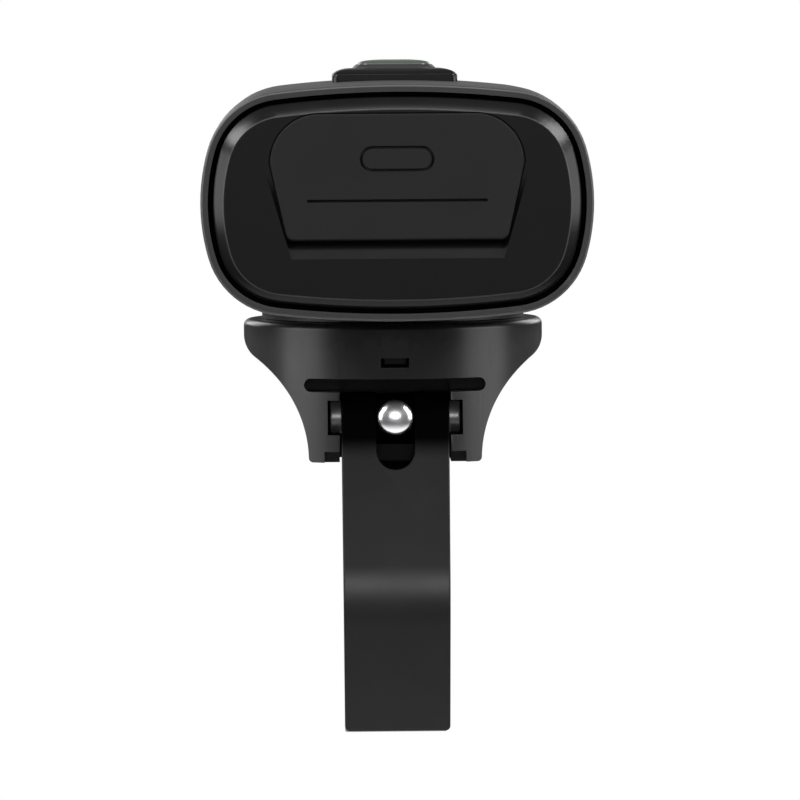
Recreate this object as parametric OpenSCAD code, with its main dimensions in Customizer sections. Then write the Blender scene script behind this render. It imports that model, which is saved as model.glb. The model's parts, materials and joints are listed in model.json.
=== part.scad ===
// Bicycle headlight with a quick-release handlebar clamp.
// Millimetres. The origin is on the handlebar's axis, X runs along the bar,
// Y points forward with the beam and Z points up.

/* [Handlebar clamp] */
// Diameter of the handlebar that the clamp closes on
bar_d = 31.8; // [28:0.1:35]
// Thickness of the rubber pad under the bracket
pad_t = 1; // [0.6:0.1:1.6]
// Thickness of the rubber lining in the band
liner_t = 0.6; // [0.5:0.1:1.2]
// Thickness of the clamp band
band_t = 1.2; // [1:0.1:1.8]
// Width of the clamp band
band_w = 12.2; // [9:0.1:14]
// Height of the two cross pins over the top of the handlebar
pin_rise = 5.2; // [4.8:0.1:7]
// Diameter of the two cross pins
pin_d = 4; // [3.6:0.1:4.6]
// Length of the two cross pins
pin_l = 15.3; // [14.6:0.1:17]
// Wall of the band's eye round the front pin
eye_wall = 1.5; // [1.2:0.1:2]
// Diameter of the draw bolt
bolt_d = 3; // [2.5:0.1:3.2]

/* [Lever] */
// Width of the quick-release lever at its cam
lever_w = 12.8; // [9:0.1:14]
// Width of the lever at its free end
lever_tip_w = 12.4; // [8:0.1:14]
// Thickness of the lever
lever_t = 2.2; // [1.6:0.1:3]
// Free space between the closed lever and the band
lever_gap = 0.85; // [0.5:0.05:2]
// Radius of the lever's bend, at mid thickness
lever_bend = 16; // [6:0.5:20]
// Lean of the lever's lower leg, in degrees
lever_lean = 11; // [0:0.5:16]
// Drop of the lever's free end under the handlebar's axis
lever_drop = 15.75; // [8:0.05:25]
// Wall of the lever's cam over its pin
cam_wall = 0.85; // [0.7:0.05:1.5]
// Rise of the lever's cam when it closes
cam_throw = 1.05; // [0.5:0.05:1.5]
// Length of the lever's slot under its pin
slot_drop = 6.85; // [5.6:0.05:8]

/* [Bracket] */
// Overhang of the bracket's round top past the clamp band
disc_over = 0.15; // [0.1:0.05:3]
// Width of the bracket's neck
neck_w = 20.4; // [19.6:0.1:23]
// Radius of the hollow curve from the neck to the rim
flare_r = 14.3; // [13.6:0.1:18]
// Radius of the round under the rim
rim_r = 3; // [2:0.1:4]
// Height of the rim over its widest line
lip_h = 1.8; // [1.4:0.1:3]
// Inset of the lever's pin from the back of the bracket
pin_inset = 4.5; // [4:0.1:5]
// Width of the level slot over the lever
core_w = 21.4; // [14:0.1:22]
// Height of the level slot over the lever
core_h = 1.6; // [1:0.1:2]
// Depth of the level slot
core_depth = 8; // [3:0.5:9]
// Width of the window for the socket ring's hook
window_w = 3.3; // [2.4:0.1:5]
// Height of the window for the socket ring's hook
window_h = 1.1; // [0.9:0.1:1.6]

/* [Quarter-turn foot] */
// Diameter of the socket in the bracket
socket_d = 29.2; // [28:0.1:30]
// Width of the foot where it shows over the bracket
foot_d = 31.4; // [29:0.1:34]
// Rise of the light's underside over the bracket
foot_rise = 1.3; // [1.2:0.05:4]
// Thickness of the socket's lips
lip_t = 1.3; // [1:0.1:1.6]
// Thickness of the foot's lugs
lug_t = 2; // [1.5:0.1:2.2]

/* [Light body] */
// Free width beside the battery cells
side_room = 3.8; // [3.4:0.1:10]
// Fall of the body's height towards its two ends
end_fall = 0.7; // [0.6:0.1:2]
// Length of the housing in front of the battery cells
lamp_room = 15; // [14:0.5:25]
// Length of the housing behind the battery cells
port_room = 16; // [15:0.5:25]
// Distance of the back rim behind the handlebar's axis
body_back = 47.9; // [47:0.1:60]
// Wall of the housing
wall = 1.8; // [1.4:0.1:2]
// Radius of the body's corners
corner_r = 8.9; // [5:0.1:9.5]
// Radius of the body's arched top and bottom
crown_r = 118; // [80:1:200]
// Length of the front bezel
bezel_l = 12; // [12:0.1:18]
// Width of the back rim
rim_w = 0.75; // [0.6:0.05:1]
// Width of the groove inside the back rim
groove_w = 0.65; // [0.5:0.05:1]
// Width of the bevel round the back cover
bevel_w = 1.2; // [0.6:0.1:2]

/* [Button] */
// Width of the button's surround
trim_w = 14.3; // [13:0.1:18]
// Length of the button's surround
trim_l = 20; // [18:0.1:26]
// Height of the surround over the body
trim_h = 1.35; // [0.8:0.05:2]
// Width of the surround's slope
trim_slope = 0.8; // [0.4:0.05:1.2]
// Width of the button
button_w = 9.5; // [8:0.1:10]
// Length of the button
button_l = 15; // [12:0.1:16]
// Height of the button over its surround
button_h = 0.45; // [0.4:0.05:1]
// Height of the indicator over the button
lamp_h = 0.55; // [0.3:0.05:0.8]
// Travel of the button
button_travel = 0.6; // [0.3:0.1:0.7]
// Depth of the button inside the body
cap_depth = 3.5; // [3.2:0.1:5]
// Height of the switch under the button
switch_h = 0.75; // [0.6:0.05:3]
// Distance of the button from the back rim
button_in = 23.9; // [22:0.1:48]

/* [Charging port] */
// Width of the flap at its widest
flap_w = 28.5; // [22:0.1:32]
// Width of the flap at its lower edge
flap_low_w = 25; // [18:0.1:28]
// Height of the flap
flap_h = 14.1; // [11:0.1:15]
// Radius of the flap's upper corners
flap_r = 5.5; // [3:0.1:6]
// Thickness of the flap
flap_t = 1.5; // [1:0.1:1.8]
// Height of the finger scoop under the flap
scoop_h = 2.3; // [1:0.1:3]
// Width of the scoop beside the flap
scoop_side = 0.6; // [0.3:0.05:1]
// Width of the charging socket
port_w = 8.9; // [7:0.1:10]
// Height of the charging socket
port_h = 3.2; // [2:0.1:3.6]

/* [Inside] */
// Diameter of a battery cell
cell_d = 18.4; // [16:0.1:18.6]
// Length of a battery cell
cell_l = 65; // [50:0.5:66]
// Room under the battery cells
cell_lift = 1.1; // [0.8:0.1:6]
// Thickness of the circuit boards
board_t = 0.8; // [0.6:0.1:1]
// Free width round the two reflectors
mouth_room = 8.6; // [8:0.1:16]

/* [Hidden] */
$fn = 96;

// Clearances: glued or seated, running, free, and free between bodies
seat = 0.05;
run = 0.05;
free = 0.3;
air = 0.4;

// Clamp
bar_r = bar_d / 2;
ring_in = bar_r + liner_t + seat;
ring_r = ring_in + band_t;
pin_r = pin_d / 2;
pin_z = bar_r + pin_rise;
bolt_r = bolt_d / 2;
disc_r = ring_r + disc_over;
back_y = -(disc_r - pin_inset);
eye_r = pin_r + run + eye_wall;
front_y = ring_r - eye_r;
cam_r = pin_r + run + cam_wall;
boss_r = pin_r + 0.75;
fork_half = bolt_r + 0.75;
channel_half = max(lever_w, band_w) / 2 + 0.15;
plate_t = 0.4;
plate_back = back_y + cam_r + cam_throw + free;
tab_back = plate_back + plate_t + seat;
tab_front = tab_back + band_t;
tab_top = pin_z + cam_r - air;
web_back = tab_front + 1.1;
web_front = front_y - eye_r - air;
bolt_end = front_y + boss_r + 1.6;

// Lever, drawn in Y and Z round the handlebar
lever_mid = ring_r + lever_gap + lever_t / 2;
lever_out = cam_r - lever_t / 2;
lever_tilt = atan2(pin_z, -back_y) - acos((lever_mid - lever_out) / norm([back_y, pin_z]));
bend_half = (lever_tilt + lever_lean) / 2;
bend_dir = (lever_tilt - lever_lean) / 2;
bend_at = (lever_mid - lever_bend) / cos(bend_half) * [-cos(bend_dir), sin(bend_dir)];

// Bracket
neck_z = bar_r - 0.1;
neck_half = neck_w / 2;
rim_z = neck_z + 0.2 + sqrt(pow(rim_r + flare_r, 2) - pow(neck_half + flare_r - disc_r + rim_r, 2));
top_z = rim_z + lip_h;
core_z = pin_z + cam_r + 0.1;
floor_z = core_z + core_h + 1.25;
socket_r = socket_d / 2;

// Foot
ring_t = 0.85;
lug_gap = 0.35;
lug_r = socket_r - seat - ring_t - lug_gap;
boss_foot_r = lug_r - 1.4;
lip_r = boss_foot_r + air;
lug_top = top_z - lip_t - free;
foot_r = foot_d / 2;
foot_gap = 0.1;
screw_at = 0.67 * boss_foot_r;

// Light, sized from what it holds
board_gap = 0.3;
body_w = 2 * cell_d + 2 * wall + side_room;
body_h = wall + cell_lift + cell_d + board_gap + board_t + seat + switch_h + button_travel + cap_depth;
end_h = body_h - end_fall;
body_l = port_room + cell_l + lamp_room;
mid_z = top_z + foot_rise + body_h / 2;
half_w = body_w / 2;
half_h = body_h / 2;
end_half = end_h / 2;
back_end = -body_back;
front_end = back_end + body_l;
bezel_end = front_end + bezel_l;
cover_seat = back_end + 3.4;
cover_face = back_end - 0.4;
cover_in = rim_w + groove_w;

// Button, on the crown of the body
crown_z = mid_z + half_h;
button_back = body_back - button_in;
trim_z = crown_z + trim_h;
cap_z = trim_z + button_h;
cap_r = 2;
lamp_in = button_h + 0.15;
tube_wall = 0.5;
flange_z = crown_z - cap_depth + 0.5;
flange_t = 0.7;
tube_z = flange_z + flange_t + free;

// Charging port
bevel_d = bevel_w * 0.65;
flap_top = mid_z + end_half - cover_in - bevel_w - 0.7;
flap_low = flap_top - flap_h;
flap_back = cover_face + flap_t;
port_z = flap_top - flap_h * 0.58;

// Inside
cell_r = cell_d / 2;
cell_x = cell_r + 0.15;
cell_z = mid_z - half_h + wall + cell_lift + cell_r;
cell_front = front_end - lamp_room;
cell_back = cell_front - cell_l;
tab_t = 0.3;
holder_t = 1.4;
board_z = cell_z + cell_r + board_gap;
sink_back = cell_front + tab_t + holder_t + 0.5;
sink_front = front_end - 6;
mouth_r = (body_w - mouth_room) / 4;
led_x = mouth_r + 0.9;
led_front = sink_front + 1.2;
lens_back = bezel_end - 4.4;
lens_front = bezel_end - 2.2;
lip_back = bezel_end - 1.6;

// Points of an arc after its first, so that arcs can be chained
function arc(c, r, a0, a1, n) =
    [for (i = [1:n]) let (t = a0 + (a1 - a0) * i / n) c + r * [cos(t), sin(t)]];

// Bowed rounded outline: sides of radius a, crowns of radius rt and corners of radius rc
function outline(a, b, rt, rc) =
    let (q = b - rt, s = a - rc, t = rt - rc,
         cz = (s * s - t * t + q * q) / (2 * q), cx = sqrt(s * s - cz * cz),
         fs = atan2(cz, cx), ft = atan2(cz - q, cx))
    concat(arc([0, 0], a, -fs, fs, 6), arc([cx, cz], rc, fs, ft, 8),
           arc([0, q], rt, ft, 180 - ft, 8), arc([-cx, cz], rc, 180 - ft, 180 - fs, 8),
           arc([0, 0], a, 180 - fs, 180 + fs, 6), arc([-cx, -cz], rc, 180 + fs, 180 + ft, 8),
           arc([0, -q], rt, 180 + ft, 360 - ft, 8), arc([cx, -cz], rc, 360 - ft, 360 - fs, 8));

// One section of the body: its place along Y, its inset and its half height
function section(y, inset, h) =
    [for (p = outline(half_w - inset, h - inset, crown_r - inset, corner_r - min(inset, 4)))
        [p[0], y, mid_z + p[1]]];

// Skin over sections given from back to front; a tube closes from the last to the first
module loft(rings, tube = false) {
    n = len(rings[0]);
    m = len(rings);
    sides = [for (k = [0:(tube ? m - 1 : m - 2)], i = [0:n - 1])
        let (a = k * n, b = ((k + 1) % m) * n, j = (i + 1) % n)
        each [[a + i, a + j, b + j], [a + i, b + j, b + i]]];
    caps = tube ? [] : [[for (i = [n - 1:-1:0]) i], [for (i = [0:n - 1]) (m - 1) * n + i]];
    polyhedron([for (r = rings) each r], concat(sides, caps));
}

// Extrude a drawing in Y and Z along X
module along_x(w) {
    rotate([90, 0, 90]) linear_extrude(w, center = true) children();
}

// Extrude a drawing in X and Z from y0 to y1
module along_y(y0, y1) {
    translate([0, y1, 0]) rotate([90, 0, 0]) linear_extrude(y1 - y0) children();
}

module rod_x(r, w) {
    rotate([0, 90, 0]) cylinder(r = r, h = w, center = true);
}

module rod_y(r, y0, y1) {
    translate([0, y0, 0]) rotate([-90, 0, 0]) cylinder(r = r, h = y1 - y0);
}

module box(x0, x1, y0, y1, z0, z1) {
    translate([x0, y0, z0]) cube([x1 - x0, y1 - y0, z1 - z0]);
}

// Ring segment round the handlebar, from angle a0 to a1 over the forward direction
module ring_x(r0, r1, w, a0, a1) {
    rotate([90, 0, 90]) rotate([0, 0, a0]) rotate_extrude(angle = a1 - a0)
        translate([r0, -w / 2]) square([r1 - r0, w]);
}

// Half of the bracket's profile seen along Y, from its neck to its rim
function flare() =
    let (c = [neck_half + flare_r, neck_z + 0.2], d = [disc_r - rim_r, rim_z],
         a = atan2(d[1] - c[1], d[0] - c[0]))
    concat([[0, neck_z], [neck_half - 0.5, neck_z]], arc([neck_half - 0.5, neck_z + 0.5], 0.5, -90, 0, 6),
           arc(c, flare_r, 178, a, 14), arc(d, rim_r, a - 180, 0, 8),
           [[disc_r + 1, rim_z], [disc_r + 1, top_z + 1], [0, top_z + 1]]);

module bracket_blank() {
    edge = 0.8;
    intersection() {
        rotate_extrude()
            polygon(concat([[0, neck_z - 1], [disc_r, neck_z - 1], [disc_r, top_z - edge]],
                           arc([disc_r - edge, top_z - edge], edge, 0, 90, 5), [[0, top_z]]));
        along_y(-disc_r - 1, disc_r + 1)
            polygon(concat(flare(), [for (p = turned(flare())) if (p[0] > 0) [-p[0], p[1]]]));
    }
}

// Pocket that holds one end of a cross pin, open at the bracket's face
module pin_pockets(y, way) {
    half = pin_l / 2 + free;
    far = way * (disc_r + 1);
    translate([0, y, pin_z]) rod_x(pin_r + seat, 2 * half);
    box(-half, half, min(y, far), max(y, far), pin_z - pin_r - seat, pin_z + pin_r + seat);
}

module bracket() {
    notch = channel_half + 1.8;
    color("#262626") difference() {
        union() {
            bracket_blank();
            box(-band_w / 2, band_w / 2, web_back, web_front, neck_z - 2, neck_z + 2);
        }
        rod_x(bar_r + pad_t + seat, 60);
        box(-channel_half, channel_half, -disc_r - 1, web_back, neck_z - 3, core_z + core_h);
        box(-channel_half, channel_half, web_front, disc_r + 1, neck_z - 3, pin_z + eye_r + air);
        pin_pockets(back_y, -1);
        pin_pockets(front_y, 1);
        box(-core_w / 2 + core_h / 2, core_w / 2 - core_h / 2, -disc_r - 1, core_depth - disc_r,
            core_z, core_z + core_h);
        for (s = [-1, 1]) {
            translate([s * (core_w - core_h) / 2, 0, core_z + core_h / 2])
                rod_y(core_h / 2, -disc_r - 1, core_depth - disc_r);
            box(min(s * channel_half * 0.9, s * notch), max(s * channel_half * 0.9, s * notch),
                -disc_r - 1, back_y - 1.4, neck_z - 1, neck_z + 1.3);
        }
        translate([0, 0, floor_z]) cylinder(r = socket_r, h = 20);
        box(-window_w / 2, window_w / 2, -disc_r - 1, disc_r + 1, floor_z + 0.1,
            floor_z + 0.1 + window_h);
        translate([0, 0, pin_z]) rod_y(bolt_r + free, web_back - 1, web_front + 1);
    }
}

module socket_ring() {
    r1 = socket_r - seat;
    color("#1c1c1c") {
        translate([0, 0, floor_z + seat]) difference() {
            cylinder(r = r1, h = top_z - floor_z - seat);
            translate([0, 0, -1]) cylinder(r = r1 - ring_t, h = 20);
        }
        for (s = [0, 180])
            rotate([0, 0, s - 40]) translate([0, 0, top_z - lip_t]) rotate_extrude(angle = 80)
                translate([lip_r, 0]) square([r1 - ring_t / 2 - lip_r, lip_t]);
        for (s = [-1, 1])
            box(-window_w / 2 + air, window_w / 2 - air, min(s * (r1 - ring_t / 2), s * (disc_r - 0.6)),
                max(s * (r1 - ring_t / 2), s * (disc_r - 0.6)), floor_z + 0.1 + air,
                floor_z + 0.1 + window_h - seat);
    }
}

module saddle_pad() {
    a0 = acos((web_front - 1.2) / bar_r);
    a1 = acos((web_back + 0.4) / bar_r);
    color("#141414") ring_x(bar_r, bar_r + pad_t, band_w, a0, a1);
}

// Cross pin with a wider middle, drilled for the draw bolt
module cross_pin(y, hole) {
    translate([0, y, pin_z]) difference() {
        union() {
            rod_x(pin_r, pin_l);
            rod_x(boss_r, 2 * fork_half - free);
        }
        rod_y(hole, -10, 10);
    }
}

module trunnion() {
    color("#303030") cross_pin(back_y, bolt_r + 0.1);
}

module front_barrel() {
    color("#303030") cross_pin(front_y, bolt_r + run);
}

// Bolt with a domed end at the back and a key socket at the front
module draw_bolt() {
    flange = back_y - boss_r - seat;
    dome = bolt_r + 0.05;
    color("#c8c8c8") translate([0, 0, pin_z]) difference() {
        union() {
            rod_y(bolt_r, flange - 0.5, bolt_end);
            rod_y(fork_half - 0.15, flange - 0.7, flange);
            translate([0, flange - 0.7, 0]) rotate([90, 0, 0]) rotate_extrude()
                polygon(concat([[0, 0], [dome, 0]], arc([dome - 0.9, 0], 0.9, 0, 90, 6), [[0, 0.9]]));
        }
        translate([0, bolt_end - 1.6, 0]) rotate([-90, 0, 0]) cylinder(r = 1.05, h = 5, $fn = 6);
    }
}

// One face of the lever, at a distance e outside its mid line
function lever_face(e) =
    let (up = [-cos(lever_tilt), sin(lever_tilt)], low = [-cos(lever_lean), -sin(lever_lean)],
         run_on = (lever_drop - (lever_mid + e) * sin(lever_lean)) / cos(lever_lean))
    concat([[back_y, pin_z] + (lever_out + e) * up],
           arc(bend_at, lever_bend + e, 180 - lever_tilt, 180 + lever_lean, 12),
           [(lever_mid + e) * low + run_on * [sin(lever_lean), -cos(lever_lean)]]);

// Points of a list from its last to its first
function turned(list) = [for (i = [len(list) - 1:-1:0]) list[i]];

module lever() {
    tip_r = 0.6;
    half = lever_w / 2;
    tip = lever_tip_w / 2;
    color("#2a2a2a") difference() {
        intersection() {
            along_x(lever_w + 1) union() {
                polygon(concat(lever_face(lever_t / 2), turned(lever_face(-lever_t / 2))));
                translate([back_y, pin_z]) polygon([for (a = [0:6:354])
                    (cam_r + cam_throw * pow(max(0, cos(a)), 2)) * [cos(a), sin(a)]]);
            }
            along_y(-60, 0) polygon(concat(
                [[half, pin_z + 10]], arc([tip - tip_r, tip_r - lever_drop], tip_r, 0, -90, 6),
                arc([tip_r - tip, tip_r - lever_drop], tip_r, -90, -180, 6), [[-half, pin_z + 10]]));
        }
        translate([0, back_y, pin_z]) {
            rod_x(pin_r + run, 40);
            rotate([-lever_tilt, 0, 0]) {
                box(-fork_half, fork_half, -12, 12, fork_half - slot_drop, 12);
                translate([0, 0, fork_half - slot_drop]) rod_y(fork_half, -12, 12);
            }
        }
    }
}

// Side view of the band: tab at the back, ring under the bar and eye at the front
function band_side() =
    let (turn = asin((ring_in - front_y) / eye_r), open = acos(tab_back / ring_r),
         shut = acos(tab_front / ring_in))
    concat([[tab_front, tab_top], [tab_back, tab_top], [tab_back, ring_r * sin(open)]],
           arc([0, 0], ring_r, open, 360, 60),
           arc([front_y, pin_z], eye_r, 0, 270 + turn, 30), [[ring_in, 0]],
           arc([0, 0], ring_in, 360, shut, 60));

module band() {
    color("#222222") difference() {
        along_x(band_w) polygon(band_side());
        translate([0, 0, pin_z]) {
            translate([0, front_y, 0]) rod_x(pin_r + run, 40);
            box(-fork_half, fork_half, web_front - 1, disc_r + 5, fork_half - slot_drop, 10);
            translate([0, 0, fork_half - slot_drop]) rod_y(fork_half, web_front, disc_r + 5);
            box(-bolt_r - air, bolt_r + air, tab_back - 1, tab_front + 1, 0, 10);
            rod_y(bolt_r + air, tab_back - 1, tab_front + 1);
        }
    }
}

module band_liner() {
    shut = acos(tab_front / ring_in);
    color("#121212") ring_x(bar_r, bar_r + liner_t, band_w, shut + 3, 358);
}

module wear_plate() {
    color("#9a9a9a") difference() {
        box(-band_w / 2 + 0.8, band_w / 2 - 0.8, plate_back, plate_back + plate_t, pin_z - 3.6, tab_top);
        translate([0, 0, pin_z]) {
            box(-bolt_r - air, bolt_r + air, plate_back - 1, plate_back + 2, 0, 10);
            rod_y(bolt_r + air, plate_back - 1, plate_back + 2);
        }
    }
}

module body_skin() {
    loft([section(back_end, 0.5, end_half), section(back_end + 0.5, 0.1, end_half),
          section(back_end + 6, 0, (end_half + half_h) / 2), section(back_end + 14, 0, half_h),
          section((back_end + front_end) / 2, 0, half_h), section(front_end, 0.05, end_half)]);
}

module housing() {
    color("#2c2c2c") difference() {
        body_skin();
        loft([section(cover_seat, wall, half_h), section(front_end + 1, wall, half_h - 0.3)]);
        loft([section(back_end - 1, rim_w + 0.1, end_half), section(cover_seat, rim_w + 0.1, end_half),
              section(cover_seat + 0.1, wall + 0.3, end_half)]);
        prism(button_w, button_l, cap_r, air + tube_wall + seat, mid_z, crown_z + 1);
        prism(trim_w, trim_l, cap_r, seat, crown_z - 0.45, crown_z + 1);
        for (x = [-1, 1], y = [-1, 1])
            translate([x * screw_at, y * screw_at, top_z]) cylinder(r = 1 + seat, h = 8);
    }
}

module front_bezel() {
    h = end_half - 0.05;
    color("#2c2c2c") loft([
        section(front_end - 4, wall + seat, h), section(front_end + 0.2, wall + seat, h),
        section(front_end + 0.2, 0.1, h), section(front_end + 0.8, -0.1, h),
        section(bezel_end - 1.4, -0.1, h), section(bezel_end, 0.9, h),
        section(bezel_end, 2.5, h), section(lip_back, 2.9, h),
        section(lip_back, 1.5, h), section(lens_back - 1.2, 1.5, h),
        section(lens_back - 1.2, 2.3, h), section(front_end + 1.4, 3, h),
        section(front_end - 4, 3, h)], tube = true);
}

module front_lens() {
    h = end_half - 0.05;
    color("#dfe8ee", 0.4) loft([section(lens_back, 1.6, h), section(lens_front, 1.6, h)]);
}

module lens_seal() {
    h = end_half - 0.05;
    color("#101010") loft([section(lens_front + seat, 1.7, h), section(lip_back - seat, 1.7, h),
                           section(lip_back - seat, 2.8, h), section(lens_front + seat, 2.8, h)],
                          tube = true);
}

// Two cups on one plate, each opening from its light source to its mouth
module reflector() {
    h = end_half - 0.05;
    skin = 0.7;
    back = led_front + 0.4;
    front = lens_back - 1.1;
    color("#d8d8d8") difference() {
        union() {
            loft([section(front, 1.6, h), section(lens_back - 0.1, 1.6, h)]);
            for (s = [-1, 1])
                translate([s * led_x, back, mid_z]) rotate([-90, 0, 0])
                    cylinder(r1 = 3.2 + skin, r2 = mouth_r + skin, h = front + 0.2 - back);
        }
        for (s = [-1, 1])
            translate([s * led_x, back - 0.01, mid_z]) rotate([-90, 0, 0]) {
                cylinder(r1 = 3.2, r2 = mouth_r, h = front + 0.2 - back);
                cylinder(r = 3.2, h = 30);
                translate([0, 0, front + 0.1 - back]) cylinder(r = mouth_r, h = 5);
            }
    }
}

module led_board() {
    color("#e8e8e4") box(-led_x - 6, led_x + 6, sink_front + seat, led_front, mid_z - 7, mid_z + 7);
}

module led_emitters() {
    color("#f2d24a") for (s = [-1, 1]) {
        box(s * led_x - 1.75, s * led_x + 1.75, led_front + seat, led_front + 0.8, mid_z - 1.75,
            mid_z + 1.75);
        translate([s * led_x, 0, mid_z]) rod_y(1.4, led_front + 0.5, led_front + 1.3);
    }
}

// Slug that carries the lamp board and passes its heat to the housing
module heat_sink() {
    color("#b4b4b4") difference() {
        loft([section(sink_back, wall + 0.1, end_half), section(sink_front, wall + 0.1, end_half)]);
        for (s = [-1, 1])
            translate([s * (half_w - wall - 2.1), 0, mid_z]) rod_y(1.2, sink_back - 1, sink_front + 1);
        translate([0, 0, mid_z]) rod_y(2.5, sink_back - 1, sink_front + 1);
    }
}

module battery_cells() {
    color("#3d6fa5") for (s = [-1, 1])
        translate([s * cell_x, 0, cell_z]) rod_y(cell_r, cell_back, cell_front);
}

module battery_tabs() {
    color("#cfcfcf") for (y = [cell_back - tab_t - seat, cell_front + seat])
        box(-cell_x - cell_r / 3, cell_x + cell_r / 3, y, y + tab_t, cell_z - cell_r / 3,
            cell_z + cell_r / 3);
}

// Frame of two end plates and a spine between the cells
module battery_holder() {
    y0 = cell_back - tab_t - 2 * seat;
    y1 = cell_front + tab_t + 2 * seat;
    low = mid_z - half_h + wall + 0.25;
    color("#1a1a1a") {
        for (y = [y0 - holder_t, y1])
            along_y(y, y + holder_t) intersection() {
                translate([0, mid_z])
                    polygon(outline(half_w - wall - free, end_half - wall - free, crown_r - wall,
                                    corner_r - wall));
                translate([-half_w, low]) square([body_w, board_z - seat - low]);
            }
        box(-1.5, 1.5, y0 - 0.5, y1 + 0.5, low, low + 2.4);
    }
}

module control_board() {
    half = cell_x + 1.15;
    color("#1f6b3a") box(-half, half, cell_back - holder_t, cell_front + holder_t, board_z,
                         board_z + board_t);
}

module tact_switch() {
    half = button_w * 0.27;
    color("#b0b0b0") translate([0, -button_back, board_z + board_t + seat]) {
        box(-half, half, -half, half, 0, switch_h * 0.6);
        cylinder(r = half / 2, h = switch_h);
    }
}

module usb_board() {
    y = cell_back - tab_t - holder_t - 4 * seat;
    half = cell_x + 2.65;
    color("#1f6b3a") box(-half, half, y - board_t, y, cell_z - cell_r / 2, board_z - board_gap);
}

// Outline of a rounded rectangle
function rounded(w, l, r) =
    let (a = w / 2 - r, b = l / 2 - r)
    concat(arc([a, b], r, 0, 90, 6), arc([-a, b], r, 90, 180, 6), arc([-a, -b], r, 180, 270, 6),
           arc([a, -b], r, 270, 360, 6));

// Upright rounded prism at the button's place, grown by g on every side
module prism(w, l, r, g, z0, z1) {
    translate([0, -button_back, z0]) linear_extrude(z1 - z0)
        polygon(rounded(w + 2 * g, l + 2 * g, r + g));
}

// Section of a pad, from steps of inset and height
function stepped(half, steps) =
    concat([for (p = steps) [half - p[0], p[1]]], [for (p = turned(steps)) [p[0] - half, p[1]]]);

// Pad at the button's place whose four sides follow the same steps
module pad(w, l, r, steps) {
    intersection() {
        along_y(-button_back - l, -button_back + l) polygon(stepped(w / 2, steps));
        translate([0, -button_back, 0]) along_x(2 * w) polygon(stepped(l / 2, steps));
        prism(w, l, r, 0, flange_z - 1, cap_z + 2);
    }
}

// Rounded oblong drawn in X and Z
module oblong(w, h) {
    square([w - h, h], center = true);
    for (s = [-1, 1]) translate([s * (w - h) / 2, 0]) circle(d = h);
}

module usb_socket() {
    y = cell_back - tab_t - holder_t - 5 * seat - board_t;
    color("#c4c4c4") {
        along_y(cover_seat - 1.2, y) translate([0, port_z]) difference() {
            oblong(port_w, port_h);
            oblong(port_w - 0.6, port_h - 0.6);
        }
        along_y(y - 2.4, y) translate([0, port_z]) oblong(port_w - 0.4, port_h - 0.4);
        along_y(cover_seat - 0.4, y - 2) translate([0, port_z]) square([6.4, 0.7], center = true);
    }
}

// Flap outline in X and Z, grown by g on every side
function flap_points(g) =
    let (a = flap_w / 2, b = flap_low_w / 2, r = 0.9, c = a - flap_r, z = flap_top - flap_r)
    concat(arc([c, z], flap_r + g, 90, 0, 8), arc([b - r, flap_low + r], r + g, -10, -90, 5),
           arc([r - b, flap_low + r], r + g, -90, -170, 5), arc([-c, z], flap_r + g, 180, 90, 8));

// Back cover: a bevelled plug with a bed for the flap, a finger scoop and the port's opening
module rear_cover() {
    low = flap_low - scoop_h;
    high = flap_top - flap_h * 0.44;
    deep = cover_face + flap_t * 0.8;
    out = cover_face - 0.1;
    wide = flap_w / 2 + scoop_side;
    slim = flap_low_w / 2 - scoop_side;
    color("#202020") difference() {
        loft([section(cover_face, cover_in + bevel_w, end_half),
              section(cover_face + bevel_d, cover_in, end_half),
              section(cover_seat - seat, cover_in, end_half)]);
        along_y(cover_face - 1, flap_back + seat) polygon(flap_points(0.15));
        intersection() {
            along_x(2 * flap_w) polygon([[out, low], [deep, flap_low], [out, high], [out - 1, high],
                                         [out - 1, low]]);
            along_y(out - 1, flap_back)
                polygon([[-wide, high], [-slim, low], [slim, low], [wide, high]]);
        }
        along_y(cover_face - 1, cover_seat + 1) translate([0, port_z]) oblong(port_w + 0.7, port_h + 0.7);
        box(-5 - seat, 5 + seat, cover_face, flap_back + 1 + seat, flap_top - 2 - seat, flap_top - 0.4);
    }
}

module rear_seal() {
    color("#0c0c0c") loft([section(back_end + 1.4, rim_w + 0.1 + seat, end_half),
                           section(cover_seat - seat, rim_w + 0.1 + seat, end_half),
                           section(cover_seat - seat, cover_in - seat, end_half),
                           section(back_end + 1.4, cover_in - seat, end_half)], tube = true);
}

// Fixed end of the rubber flap's strap, set in the back cover
module flap_anchor() {
    color("#1e1e1e") box(-5, 5, flap_back + 0.2, flap_back + 1, flap_top - 2, flap_top - 0.4 - seat);
}

// Rubber flap with a flex groove and a plug for the port
module usb_flap() {
    groove_z = flap_top - flap_h * 0.69;
    color("#2b2b2b") {
        difference() {
            along_y(cover_face, flap_back) polygon(flap_points(0));
            box(-flap_w * 0.355, flap_w * 0.355, cover_face - 1, cover_face + 0.3, groove_z - 0.17,
                groove_z + 0.17);
        }
        along_y(flap_back - 0.2, flap_back + 1.2) translate([0, port_z])
            oblong(port_w - 1.2, port_h - 1);
    }
}

// Surround set in the body's crown, with a tube that guides the button
module button_bezel() {
    z = crown_z - 0.4;
    color("#232323") difference() {
        union() {
            pad(trim_w, trim_l, cap_r, [[0, z], [0, crown_z + trim_h / 2], [trim_slope, trim_z]]);
            prism(button_w, button_l, cap_r, air + tube_wall, tube_z, z + 0.1);
        }
        prism(button_w, button_l, cap_r, air, tube_z - 1, trim_z + 1);
    }
}

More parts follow.
